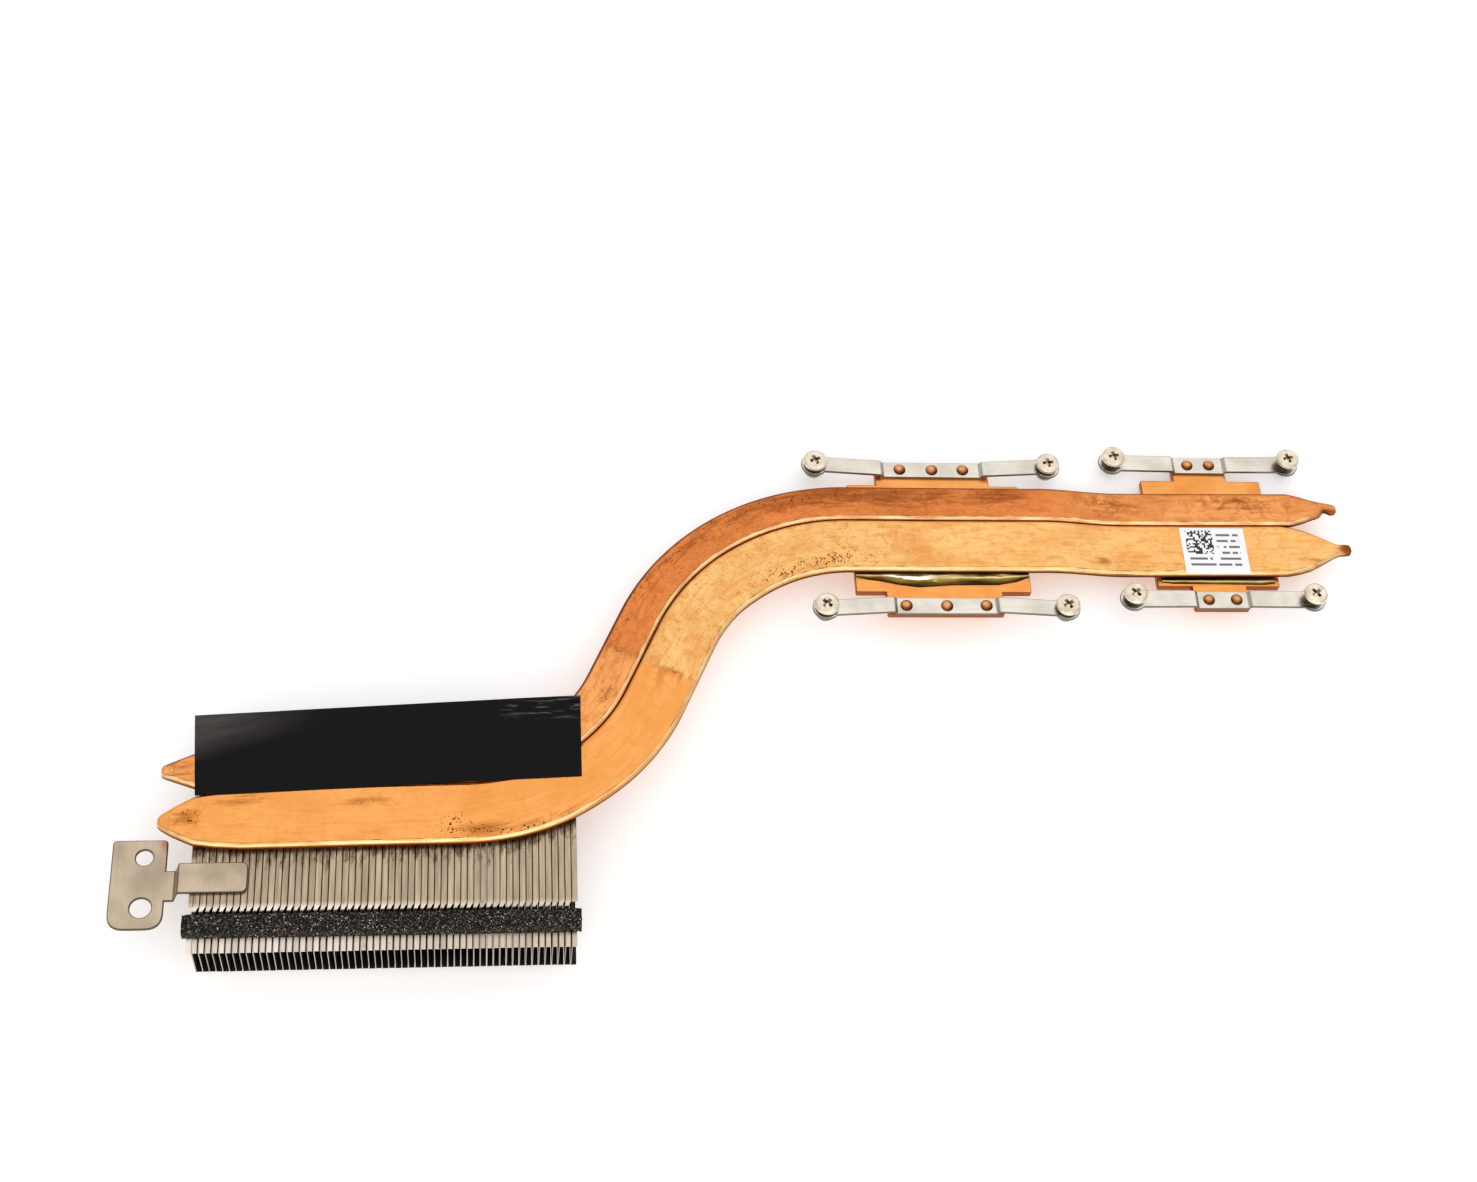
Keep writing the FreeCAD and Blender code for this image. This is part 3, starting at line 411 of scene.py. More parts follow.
def form_mesh(name, points, faces):
    """A mesh from millimetre points."""
    mesh = bpy.data.meshes.new(name)
    mesh.from_pydata([tuple(c * MM for c in p) for p in points], [], faces)
    return mesh


def carry(mesh, name, values, kind="FLOAT", domain="POINT"):
    """Keeps a number or a vector for each point or face, for the finish to read."""
    layer = mesh.attributes.new(name, kind, domain)
    layer.data.foreach_set("value" if kind == "FLOAT" else "vector", values)


def outward(mesh):
    """Turns all faces outward."""
    shape = bmesh.new()
    shape.from_mesh(mesh)
    bmesh.ops.recalc_face_normals(shape, faces=shape.faces)
    shape.to_mesh(mesh)
    shape.free()
    return mesh


def show(name, data):
    """A new object in the scene."""
    made = bpy.data.objects.new(name, data)
    bpy.context.scene.collection.objects.link(made)
    return made


def applied(thing):
    """The mesh of an object with its modifiers applied."""
    bpy.context.view_layer.update()
    return bpy.data.meshes.new_from_object(thing.evaluated_get(bpy.context.evaluated_depsgraph_get()))


def settle(name, mesh, finish, nodes, body="root", angle=35.0):
    """Turns faces outward, smooths them, and joins the mesh to its body."""
    outward(mesh)
    mesh.shade_smooth()
    mesh.set_sharp_from_angle(angle=math.radians(angle))
    mesh.materials.clear()
    mesh.materials.append(finish)
    made = show(name, mesh)
    even = made.modifiers.new("even", "WEIGHTED_NORMAL")
    even.keep_sharp = True
    made.data = applied(made)
    made.data.name = name
    made.modifiers.clear()
    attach(made, body)
    if nodes:
        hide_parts(*nodes)
    return made


def eased(value, start, length):
    """A smooth rise from zero to one over a length."""
    share = min(max((value - start) / length, 0.0), 1.0)
    return share * share * (3.0 - 2.0 * share)


def hump(value, middle, width):
    """One at the middle, fading to both sides."""
    return math.exp(-((value - middle) / width) ** 2)


def between(table, value):
    """Straight-line reading of a table of pairs."""
    if value <= table[0][0]:
        return table[0][1]
    for (x0, y0), (x1, y1) in zip(table, table[1:]):
        if value <= x1:
            return y0 + (y1 - y0) * (value - x0) / (x1 - x0)
    return table[-1][1]


def stitched(rings, count):
    """Faces of a closed tube: rings of count points joined one to the next, and a cap at each end."""
    faces = [(a + j, a + (j + 1) % count, a + count + (j + 1) % count, a + count + j)
             for a in range(0, (rings - 1) * count, count) for j in range(count)]
    return faces + [tuple(range(count)), tuple(range((rings - 1) * count, rings * count))]


def on_path(s):
    """Place and heading on the groove line; s is zero where the first bend starts."""
    if s <= 0.0:
        return BEND_X + s, GROOVE_Y, 0.0
    turn = min(s, FIRST_ARC) / FIRST_RADIUS
    x, y = BEND_X + FIRST_RADIUS * math.sin(turn), GROOVE_Y + FIRST_RADIUS * (1 - math.cos(turn))
    rest = s - FIRST_ARC
    if rest <= 0.0:
        return x, y, turn
    straight = min(rest, BEND_RUN)
    x, y = x + straight * math.cos(BEND_TURN), y + straight * math.sin(BEND_TURN)
    rest = max(rest - straight, 0.0)
    turn = BEND_TURN - min(rest, SECOND_ARC) / SECOND_RADIUS
    x += SECOND_RADIUS * (math.sin(BEND_TURN) - math.sin(turn))
    y += SECOND_RADIUS * (math.cos(turn) - math.cos(BEND_TURN))
    return x + max(rest - SECOND_ARC, 0.0), y, turn


# How far the pipes wander off the groove line, and marks on their tops as rows of
# (distance along, place across, length, width, strength).
DRIFT = [(NOSE_TIP, -1.2), (-38.0, -0.6), (-16.0, -0.2), (0.0, 0.0), (ROW_START + 20, 0.0),
         (ROW_START + 70, 0.3), (ROW_START + 91, 0.5), (LARGE_END, 0.9)]
LARGE_PITS = [
    (-48.0, -5.6, 2.6, 1.7, 1.0), (-51.0, -8.6, 3.0, 1.2, 0.7), (-1.1, -8.5, 4.0, 2.4, 1.0),
    (9.0, -10.6, 8.0, 1.0, 0.9), (88.0, -10.0, 13.0, 1.8, 0.9), (101.0, -8.8, 9.0, 2.6, 0.6),
    (106.0, -3.2, 9.0, 1.8, 0.35), (124.4, -3.2, 2.0, 1.2, 0.5), (70.0, -6.0, 30.0, 6.0, 0.25)]
SMALL_PITS = [
    (66.0, 6.5, 30.0, 2.0, 0.6), (34.0, 2.7, 4.0, 2.0, 0.8), (97.0, 5.0, 14.0, 2.5, 0.5),
    (184.0, 4.0, 9.0, 2.0, 0.4)]
LARGE_SMOKE = [
    (-38.8, -2.8, 4.2, 1.6, 0.85), (-48.0, -5.6, 3.6, 2.4, 0.75), (205.4, -5.6, 1.7, 2.4, 1.3),
    (-16.4, -3.6, 6.0, 1.4, 0.75), (3.0, -9.3, 5.0, 1.5, 0.95), (42.6, -5.4, 3.0, 3.0, 0.5),
    (45.0, -7.0, 1.2, 8.0, 0.5), (153.4, -8.6, 1.5, 1.4, 0.9), (160.0, -9.5, 22.0, 1.0, 0.45),
    (197.0, -9.0, 5.0, 2.5, 0.55), (12.0, -10.6, 7.0, 0.9, 0.7)]
SMALL_SMOKE = [
    (97.8, 6.0, 14.0, 2.5, 0.7), (133.7, 6.0, 5.0, 2.2, 0.8), (156.2, 4.6, 6.0, 2.5, 0.6),
    (184.0, 5.0, 9.0, 2.5, 0.65), (70.0, 5.8, 24.0, 2.6, 0.6), (35.0, 2.7, 4.0, 1.6, 0.75),
    (116.0, 5.4, 20.0, 3.0, 0.78), (-50.5, 4.6, 3.0, 2.6, 0.6), (203.2, 2.4, 2.4, 1.2, 1.0),
    (45.0, 4.0, 1.2, 6.0, 0.5)]
PIPES = {
    "large_heat_pipe": dict(
        offset=-6.01, width=12.04, slim=0.4, nose=LARGE_NOSE, tail=LARGE_TAIL, end=LARGE_END,
        finish=LARGE_COPPER, pits=LARGE_PITS, smoke=LARGE_SMOKE, peel_lost=0.15, stretch_ends=104.0,
        highlight_from=1.0, torn=0.0),
    "small_heat_pipe": dict(
        offset=4.01, width=8.04, slim=0.0, nose=SMALL_NOSE, tail=SMALL_TAIL, end=SMALL_END,
        finish=SMALL_COPPER, pits=SMALL_PITS, smoke=SMALL_SMOKE, peel_lost=0.85, stretch_ends=124.0,
        highlight_from=4.0, torn=1.1)}
DISH_DEPTH, RIPPLE_DEPTH, GROOVE_LAP = 0.06, 0.03, 0.04
# where the polished skin gives way to the stretched one, and where that one fades out again
SKIN_START, SKIN_RAGGED, SKIN_RUN, PEEL_ENDS, FADE_RUN = 44.6, 0.9, 0.7, 136.0, 30.0
# the crease along the rounded edge, as a share of the height above the middle
CREASE_LEVEL, CREASE_WIDTH, CREASE_DARK, FLAT_LEVEL = 0.9877, 0.011, 0.45, 0.999


def section(half, thick, flats=12, bends=20):
    """A flattened tube section as (across, up) pairs: two flats and two round sides."""
    radius = min(thick, half)
    flat = half - radius
    points = []
    for sign in (1, -1):
        for i in range(flats):
            points.append((sign * flat * (2 * i / flats - 1), sign * thick))
        for i in range(bends):
            angle = math.pi * (0.5 - i / bends)
            points.append((sign * (flat + radius * math.cos(angle)), sign * thick * math.sin(angle)))
    return points


def masked(spots, s, q):
    """Strength of painted wear at a place on a pipe, at most one."""
    return min(1.0, sum(strength * hump(s, along, length) * hump(q, across, width)
                        for along, across, length, width, strength in spots))


def edge_shade_and_highlight(level, far, groove):
    """Painted shade and painted highlight shares of the pipe's side; level is one on the flat, zero at half
    height.
    """
    shade = 0.95 * (1.0 - eased(-level, 0.55, 0.4))
    # painted shade on the far side, starting lower down where it faces the groove
    if far:
        return shade * (1.0 - (eased(level, 0.35, 0.45) if groove else eased(level, 0.78, 0.21))), 0.0
    # a painted highlight along the near rounded edge, above painted shade on the side below it
    painted_highlight = eased(level, 0.54, 0.24) * (1.0 - eased(level, 0.975, 0.024))
    return shade * (1.0 - eased(level, 0.1, 0.6)), painted_highlight


def pipe_stations(end):
    """Distances along a pipe, closer together at its ends and where its skin changes."""
    stations, s = [], NOSE_TIP
    while s < end:
        stations.append(s)
        edge = min(s - NOSE_TIP, end - s)
        s += 0.15 if edge < 0.6 else 0.3 if edge < 4 or 43.0 < s < 47.0 else 0.6 if edge < 15 else 0.8
    return stations + [end]


def closed(distance, reach):
    """Share of the full section at a rounded tip, from a small blunt end to one."""
    return math.sqrt(max(1.0 - (1.0 - min(distance / reach, 1.0)) ** 2, 0.04))


def pipe_sizes(pipe, s):
    """Half width, half thickness, sideways place and middle height of a pipe's section."""
    from_nose, from_tail = s - NOSE_TIP, pipe["end"] - s
    slim = pipe["slim"] * eased(s, 8.0, 14.0) * (1.0 - eased(s, FIRST_ARC + BEND_RUN + 10.0, 16.0))
    half = 0.5 * min(between(pipe["nose"], from_nose), between(pipe["tail"], from_tail), pipe["width"] - slim)
    thick = 0.5 * PIPE_THICK * (0.78 + 0.22 * eased(from_nose, 0.0, 3.0))
    thick *= 0.62 + 0.38 * eased(from_tail, 0.5, 5.0)
    nose, tail = closed(from_nose, 0.5), closed(from_tail, 0.6)
    half *= (0.7 + 0.3 * nose) * (0.5 + 0.5 * tail)
    thick *= (0.35 + 0.65 * nose) * (0.4 + 0.6 * tail)
    middle = PIPE_LOW + 0.5 * PIPE_THICK - STEP_DROP * eased(s, STEP_START, STEP_RUN)
    return half, thick, pipe["offset"] + between(DRIFT, s) + 0.5 * slim, middle


def pipe_skin(pipe, s, across, level, half):
    """What the finish reads: (pits, peeled, stained) and (painted shade with dark tail tips, painted
    highlight, stretched) shares of a point.
    """
    offset, from_tail = pipe["offset"], pipe["end"] - s
    q = across + offset
    start = SKIN_START + SKIN_RAGGED * noise.noise(Vector((0.7 * q, 3.0, offset)))
    bent = eased(s, start, SKIN_RUN)
    peel = bent * (1.0 - pipe["peel_lost"] * eased(s, PEEL_ENDS, FADE_RUN))
    stretch = bent * (1.0 - 0.85 * eased(s, pipe["stretch_ends"], FADE_RUN))
    dark, painted_highlight = edge_shade_and_highlight(level, across > 0, not pipe["torn"])
    if pipe["torn"]:
        burnt = 0.85 * hump(from_tail, 2.9, 1.2) * eased(-across / half, 0.0, 0.7)
    else:
        burnt = 0.6 * (1.0 - eased(from_tail, 1.0, 2.2))
    dark = max(dark, burnt)
    # a broken darker line along the crease of the near edge, just above the painted highlight
    if across < 0 < level < FLAT_LEVEL:
        patchy = CREASE_DARK + noise.noise(Vector((s / 2.3, offset, 5.0)))
        dark = max(dark, patchy * hump(level, CREASE_LEVEL, CREASE_WIDTH))
    wear = (masked(pipe["pits"], s, q), peel, masked(pipe["smoke"], s, q))
    return wear, (dark, painted_highlight * eased(from_tail, pipe["highlight_from"], 4.0), stretch)


def heat_pipe(name, pipe):
    """A flattened pipe along the groove line, dished on top, with the marks that its finish reads."""
    offset, stations = pipe["offset"], pipe_stations(pipe["end"])
    points, layers = [], {"run": [], "wear": [], "edge": []}
    for s in stations:
        x, y, turn = on_path(s)
        half, thick, shift, middle = pipe_sizes(pipe, s)
        for across, up in section(half, thick):
            flat = max(0.0, 1.0 - (across / max(half, 0.5)) ** 2)
            dish = DISH_DEPTH * flat * max(0.0, up / thick) * min(half / 4.0, 1.0)
            ripple = RIPPLE_DEPTH * abs(noise.noise(Vector((s / 9.0, across / 4.0, offset))))
            side = shift + across
            if across < 0:
                side += pipe["torn"] * hump(pipe["end"] - s, 2.6, 0.9) * min(1.0, -across / half)
            if across * offset < 0:
                side += GROOVE_LAP * across / half
            points.append((x - side * math.sin(turn), y + side * math.cos(turn),
                           middle + up - dish - (ripple if up > 0 else -ripple)))
            wear, edge = pipe_skin(pipe, s, across, up / thick, half)
            layers["run"] += (s * MM, (across + offset) * MM, up * MM)
            layers["wear"] += wear
            layers["edge"] += edge
    mesh = form_mesh(name, points, stitched(len(stations), len(points) // len(stations)))
    for layer, values in layers.items():
        carry(mesh, layer, values, "FLOAT_VECTOR")
    settle(name, mesh, pipe["finish"], [name], angle=60.0)


for name, pipe in PIPES.items():
    heat_pipe(name, pipe)


def row_tree():
    """The tree that repeats a form along a row, with small random turns and shifts."""
    tree = bpy.data.node_groups.new("row_of_parts", "GeometryNodeTree")
    tree.is_modifier = True
    tree.interface.new_socket("Geometry", in_out="OUTPUT", socket_type="NodeSocketGeometry")
    names = {}
    for kind, group in (("Geometry", ["Geometry"]), ("Int", ["Count", "Seed"]), ("Material", ["Material"]),
                        ("Vector", ["Start", "Step", "Turn", "Turn spread", "Shift spread"])):
        for name in group:
            made = tree.interface.new_socket(name, in_out="INPUT", socket_type="NodeSocket" + kind)
            names[name] = made.identifier
    given = add(tree, "NodeGroupInput", out=None)
    line = add(tree, "GeometryNodeMeshLine", {"Count": given["Count"], "Start Location": given["Start"],
                                              "Offset": given["Step"]}, mode="OFFSET", count_mode="TOTAL")
    turn = {0: given["Turn"], 1: given["Turn spread"]}
    least, most = (add(tree, "ShaderNodeVectorMath", turn, operation=way) for way in ("SUBTRACT", "ADD"))
    back = add(tree, "ShaderNodeVectorMath", {0: given["Shift spread"], 1: (-1.0, -1.0, -1.0)},
               operation="MULTIPLY")
    turns, shifts = several(tree, "FunctionNodeRandomValue", (0, 1, "Seed"), (
        (least, most, given["Seed"]), (back, given["Shift spread"], given["Seed"])), data_type="FLOAT_VECTOR")
    copies = add(tree, "GeometryNodeInstanceOnPoints",
                 {"Points": line, "Instance": given["Geometry"], "Rotation": turns})
    moved = add(tree, "GeometryNodeTranslateInstances", {"Instances": copies, "Translation": shifts})
    real = add(tree, "GeometryNodeRealizeInstances", {0: moved})
    painted = add(tree, "GeometryNodeSetMaterial", {"Geometry": real, "Material": given["Material"]})
    add(tree, "NodeGroupOutput", {0: painted}, out=None)
    return tree, names


ROW_TREE, ROW_INPUTS = row_tree()
STILL = (0, 0, 0)


def row_of(name, form, finish, slot, nodes, body="root", angle=35.0, **inputs):
    """Repeats a form mesh along a row and keeps the result as one mesh."""
    source = show(name + "_form", form)
    rows = source.modifiers.new("row", "NODES")
    rows.node_group = ROW_TREE
    values = {"Count": 1, "Start": STILL, "Step": STILL, "Turn": STILL, "Turn spread": STILL,
              "Shift spread": STILL, "Seed": 3, "Material": finish, **inputs}
    for key, value in values.items():
        rows[ROW_INPUTS[key]] = tuple(float(v) for v in value) if isinstance(value, tuple) else value
    mesh = applied(source)
    mesh.name = name
    bpy.data.objects.remove(source)
    return settle(name, mesh, finish, nodes, body, angle)


def prism(points, faces, loop, shift):
    """Adds a closed solid: a loop of points carried along shift."""
    first, count = len(points), len(loop)
    points.extend(loop)
    points.extend(tuple(a + b for a, b in zip(p, shift)) for p in loop)
    faces.append(tuple(range(first, first + count)))
    faces.append(tuple(range(first + count, first + 2 * count)))
    for i in range(count):
        j = (i + 1) % count
        faces.append((first + i, first + j, first + count + j, first + count + i))


def folded_fin(ramped=True):
    """One folded fin: an upright web, a top flange, a ramp sheared to the left, a front flange and a foot."""
    points, faces = [], []
    wide, foot_low, short_flange = FIN_PITCH - FIN_GAP, 0.1, 0.12
    web_top, web_ledge = FIN_HEIGHT - FIN_BEND, LEDGE_HEIGHT - FIN_BEND
    web = ((0, foot_low), (FIN_DEPTH, foot_low), (FIN_DEPTH, web_top), (TOP_FRONT, web_top),
           (LEDGE_DEPTH, web_ledge), (0, web_ledge))
    prism(points, faces, [(0, y, z) for y, z in web], (FIN_WEB, 0, 0))
    spans = ((TOP_FRONT, FIN_HEIGHT, FIN_DEPTH, FIN_HEIGHT, 0.0),
             (FRONT_LIP, LEDGE_HEIGHT, LEDGE_DEPTH, LEDGE_HEIGHT, short_flange),
             (0.0, LEDGE_HEIGHT - LIP_DROP, FRONT_LIP, LEDGE_HEIGHT, short_flange))
    for start, start_high, end, end_high, short in spans:
        edge = wide - short
        loop = [(0, -FIN_BEND), (0.02, -0.09), (0.1, 0), (edge - 0.06, 0), (edge, -0.05), (edge, -FIN_SHEET),
                (0.2, -FIN_SHEET), (FIN_WEB, -FIN_BEND)]
        prism(points, faces, [(x, start, start_high + z) for x, z in loop],
              (0, end - start, end_high - start_high))
    # the ramp rounds over from the top flange and its edges lean left on the way down
    rows = []
    for k in range(8 if ramped else 2):
        turn = math.radians(min(11.0 * k, 70.0))
        y, z = TOP_FRONT - RAMP_ROUND * math.sin(turn), FIN_HEIGHT - RAMP_ROUND * (1 - math.cos(turn))
        lean, slit = -0.45 * eased(k, 0.0, 5.0), 0.34 * eased(k, 0.5, 2.5)
        rows.append([(0.06 + lean + 0.6 * slit, y, z), (wide + lean - 0.4 * slit, y, z)])
    for below, above in zip(rows[1:], rows):
        prism(points, faces, [below[0], below[1], above[1], above[0]], (0, 0.12, -0.12))
    foot = len(faces)
    prism(points, faces, [(0, 0, 0), (wide, 0, 0), (wide, FIN_DEPTH, 0), (0, FIN_DEPTH, 0)],
          (0, 0, FIN_SHEET))
    mesh = form_mesh("folded_fin", points, faces)
    # the broad sides of the web and the foot carry painted shade for the dark of the channels, and the web's
    # cut edge a little of it, which also makes it dull
    dark = [1.0, 1.0 if ramped else 0.15] + [0.3] * 6 + [0.0] * (foot - 7) + [1.0] * (len(faces) - foot - 1)
    carry(mesh, "web", dark, domain="FACE")
    return mesh


def end_flange():
    """The flange that the first web keeps on its outer side, at the top, on the ramp and at the front."""
    points, faces = [], []
    spans = ((TOP_FRONT, FIN_HEIGHT, 24.0, FIN_HEIGHT, 0.75),
             (FRONT_LIP, LEDGE_HEIGHT, LEDGE_DEPTH, LEDGE_HEIGHT, 0.9),
             (0.0, LEDGE_HEIGHT - LIP_DROP - 0.1, FRONT_LIP, LEDGE_HEIGHT, 1.0))
    for start, high, end, end_high, wide in spans:
        loop = [(-wide, -0.05), (-0.05, 0), (-0.05, -FIN_SHEET), (-wide, -FIN_SHEET - 0.05)]
        prism(points, faces, [(FIN_LEFT + x, FIN_FRONT + start, high + z) for x, z in loop],
              (0, end - start, end_high - high))
    outline = ((0, 0.1), (FIN_DEPTH, 0.1), (FIN_DEPTH, FIN_HEIGHT - 0.2), (TOP_FRONT, FIN_HEIGHT - 0.2),
               (LEDGE_DEPTH, LEDGE_HEIGHT - 0.2), (0, LEDGE_HEIGHT - 0.5))
    prism(points, faces, [(FIN_LEFT - 0.01, FIN_FRONT + y, z) for y, z in outline], (-0.04, 0, 0))
    settle("fin_end_flange", form_mesh("fin_end_flange", points, faces), FIN_NICKEL, [])


FIN_SPREAD = {"Turn spread": (0.0003, 0, 0), "Shift spread": (0.015 * MM, 0.03 * MM, 0.01 * MM)}
row_of("fin_stack", folded_fin(), FIN_NICKEL, "nickel_fin", ["fin_stack"], Count=FIN_COUNT - 1,
       Start=(FIN_LEFT * MM, (FIN_FRONT + 0.04) * MM, 0.02 * MM), Step=(FIN_PITCH * MM, 0, 0), Seed=11,
       **FIN_SPREAD)
row_of("last_fin", folded_fin(False), FIN_NICKEL, "nickel_fin", [],
       Start=((FIN_LEFT + FIN_PITCH * (FIN_COUNT - 1)) * MM, FIN_FRONT * MM, 0))
end_flange()


def arc(x, y, radius, start, end, steps):
    """Points on an arc between two angles in degrees."""
    turns = [math.radians(start + (end - start) * i / steps) for i in range(steps + 1)]
    return [(x + radius * math.cos(turn), y + radius * math.sin(turn)) for turn in turns]


def hole(x, y, radius):
    """A round hole of 24 points."""
    return arc(x, y, radius, 0, 345, 23)


def rounded(corners, steps=6):
    """An outline from (x, y, radius) corners."""
    loop = []
    for i, (x, y, radius) in enumerate(corners):
        before, after = Vector(corners[i - 1][:2]), Vector(corners[(i + 1) % len(corners)][:2])
        here = Vector((x, y))
        if radius <= 0:
            loop.append((x, y))
            continue
        start = here + (before - here).normalized() * radius
        end = here + (after - here).normalized() * radius
        for k in range(steps + 1):
            t = k / steps
            point = start * (1 - t) ** 2 + here * 2 * t * (1 - t) + end * t * t
            loop.append((point.x, point.y))
    return loop


def flat_sheet(outline, holes, cuts, thick):
    """A sheet of even thickness as a bmesh, cut across at the places where it will be bent."""
    flat = bmesh.new()
    edges = []
    for loop in [outline, *holes]:
        corners = [flat.verts.new((x, y, 0)) for x, y in loop]
        edges += [flat.edges.new((a, b)) for a, b in zip(corners, corners[1:] + corners[:1])]
    bmesh.ops.triangle_fill(flat, edges=edges, use_beauty=True)
    for x in cuts:
        bmesh.ops.bisect_plane(flat, geom=flat.verts[:] + flat.edges[:] + flat.faces[:],
                               plane_co=(x, 0, 0), plane_no=(1, 0, 0))
    flat.verts.index_update()
    count = len(flat.verts)
    points = [(v.co.x, v.co.y, z) for z in (0.0, thick) for v in flat.verts]
    faces = [tuple(v.index for v in f.verts) for f in flat.faces]
    faces += [tuple(i + count for i in f) for f in faces]
    for e in flat.edges:
        if len(e.link_faces) == 1:
            a, b = e.verts[0].index, e.verts[1].index
            faces.append((a, b, b + count, a + count))
    flat.free()
    mesh = bpy.data.meshes.new("flat_sheet")
    mesh.from_pydata(points, [], faces)
    solid = bmesh.new()
    solid.from_mesh(mesh)
    bpy.data.meshes.remove(mesh)
    bmesh.ops.recalc_face_normals(solid, faces=solid.faces)
    return solid


def stamped(name, outline, holes, low, thick, edge, finish, rise=lambda x: 0.0, cuts=()):
    """A stamped sheet: outline with holes, eased edges, and a rise along its length."""
    solid = flat_sheet(outline, holes, cuts, thick)
    rim = [e for e in solid.edges if len(e.link_faces) == 2
           and abs(abs(e.link_faces[0].normal.z) - abs(e.link_faces[1].normal.z)) > 0.9]
    bmesh.ops.bevel(solid, geom=rim, offset=edge, segments=2, profile=0.5, affect="EDGES")
    solid.normal_update()
    painted_shade_and_cut_edge = solid.faces.layers.float.new("painted_shade_and_cut_edge")
    step = 0.1
    for face in solid.faces:
        x = face.calc_center_median().x
        slope = abs(rise(x + step) - rise(x - step)) / (2 * step)
        # the cut walls and bevels are darker, partly as cut edges and partly as painted shade outlining the
        # sheet, and the slopes of a step get painted shade
        face[painted_shade_and_cut_edge] = 0.85 if abs(face.normal.z) < 0.97 else min(0.4, 0.6 * slope)
    for v in solid.verts:
        v.co.z += low + rise(v.co.x)
        v.co *= MM
    mesh = bpy.data.meshes.new(name)
    solid.to_mesh(mesh)
    solid.free()
    settle(name, mesh, finish, [name], angle=40.0)


def cold_plate(plate, sizes):
    """A copper plate with a tab on each long side, under the arms."""
    half, deep, tab = sizes["width"] / 2, sizes["depth"] / 2, sizes["tab"] / 2
    reach = sizes["arms"] / 2 + sizes["arm_width"] / 2 - TAB_INSET
    right = [(tab, -reach, PLATE_CORNER), (tab, -deep, 0.0), (half, -deep, PLATE_CORNER),
             (half, deep, PLATE_CORNER), (tab, deep, 0.0), (tab, reach, PLATE_CORNER)]
    corners = right + [(-x, -y, radius) for x, y, radius in right]
    outline = rounded([(sizes["x"] + x, sizes["y"] + y, radius) for x, y, radius in corners], 4)
    stamped(f"{plate}_cold_plate", outline, [], sizes["low"], PLATE_THICK, PLATE_EDGE, PLATE_COPPER)


def spring_arm(plate, side, sizes):
    """A steel arm riveted to the tabs, stepped up beside them, with an eyelet at each end."""
    x, y = sizes["x"], sizes["y"] + SIDES[side] * sizes["screws"][1] / 2
    middle = sizes["y"] + SIDES[side] * sizes["arms"] / 2
    span, seat, wide, radius = sizes["screws"][0] / 2, sizes["seat"] / 2, sizes["arm_width"] / 2, EYELET / 2
    shoulder = math.degrees(math.asin(min(wide / radius, 0.99)))
    outline = arc(x + span, y, radius, -180 + shoulder, 180 - shoulder, 28)
    outline += [(x + seat, middle + wide), (x - seat, middle + wide)]
    outline += arc(x - span, y, radius, shoulder, 360 - shoulder, 28)
    outline += [(x - seat, middle - wide), (x + seat, middle - wide)]
    cuts = [x + s * (seat + JOGGLE_RUN * k / 4) for s in (-1, 1) for k in range(5)]
    stamped(f"{plate}_{side}_arm", outline, [hole(x + s * span, y, EYELET_HOLE / 2) for s in (-1, 1)],
            sizes["low"] + PLATE_THICK, ARM_THICK, ARM_EDGE, ARM_STEEL,
            lambda at: JOGGLE * eased(abs(at - x), seat, JOGGLE_RUN), cuts)


def mounting_bracket():
    """A plated bracket: a plate with two holes, and a tongue that steps up onto the fins."""
    (left, front, low), (tongue_end, back, high) = box_mm("mounting_bracket")
    sheet, right = 0.7, left + 9.5
    tongue_front, tongue_back = FIN_FRONT + 10.0, FIN_FRONT + 15.8
    neck, neck_run, drop = FIN_LEFT - 3.9, 1.3, high - low - sheet
    outline = rounded([(left, front, 3.0), (right, front, 3.0), (right, tongue_front, 0.0),
                       (tongue_end, tongue_front, 1.3), (tongue_end, tongue_back, 1.3),
                       (right, tongue_back, 0.0), (right, back, 0.8), (left, back, 0.8)])
    holes = [hole(right - 3.9, FIN_FRONT + 18.4, 1.5), hole(right - 3.9, FIN_FRONT + 8.8, 1.85)]
    stamped("mounting_bracket", outline, holes, low, sheet, 0.2, BRACKET_STEEL,
            lambda x: drop * eased(x, neck, neck_run), [neck + neck_run * k / 5 for k in range(6)])


for plate, sizes in PLATES.items():
    cold_plate(plate, sizes)
    for side in SIDES:
        spring_arm(plate, side, sizes)
mounting_bracket()


def circle(radius, height, steps):
    """A level ring of points about the Z axis."""
    return [(radius * math.cos(math.tau * k / steps), radius * math.sin(math.tau * k / steps), height)
            for k in range(steps)]


def lathe(profile, steps):
    """Points and faces turned about Z from (radius, height) pairs that start and end on the axis."""
    points = [(0, 0, profile[0][1])]
    for radius, height in profile[1:-1]:
        points += circle(radius, height, steps)
    points.append((0, 0, profile[-1][1]))
    faces = []
    last = 1 + (len(profile) - 3) * steps
    for k in range(steps):
        n = (k + 1) % steps
        faces.append((0, 1 + k, 1 + n))
        for a in range(1, last, steps):
            faces.append((a + k, a + steps + k, a + steps + n, a + n))
        faces.append((last + k, len(points) - 1, last + n))
    return points, faces


RIVET_PROFILE = [(0, 0.65), (0.35, 0.63), (0.7, 0.55), (1.0, 0.4), (1.18, 0.2), (1.25, 0.0), (0.8, 0.0),
                 (0.8, -1.9), (0, -1.9)]
RIVET_ROWS = {"wide": {"far": (3, 6.5), "near": (3, 8.0)}, "narrow": {"far": (2, 4.7), "near": (2, 5.8)}}
RIVET_SPREAD = {"Turn spread": (0.06, 0.06, 0.4), "Shift spread": (0.06 * MM, 0.06 * MM, 0.02 * MM)}


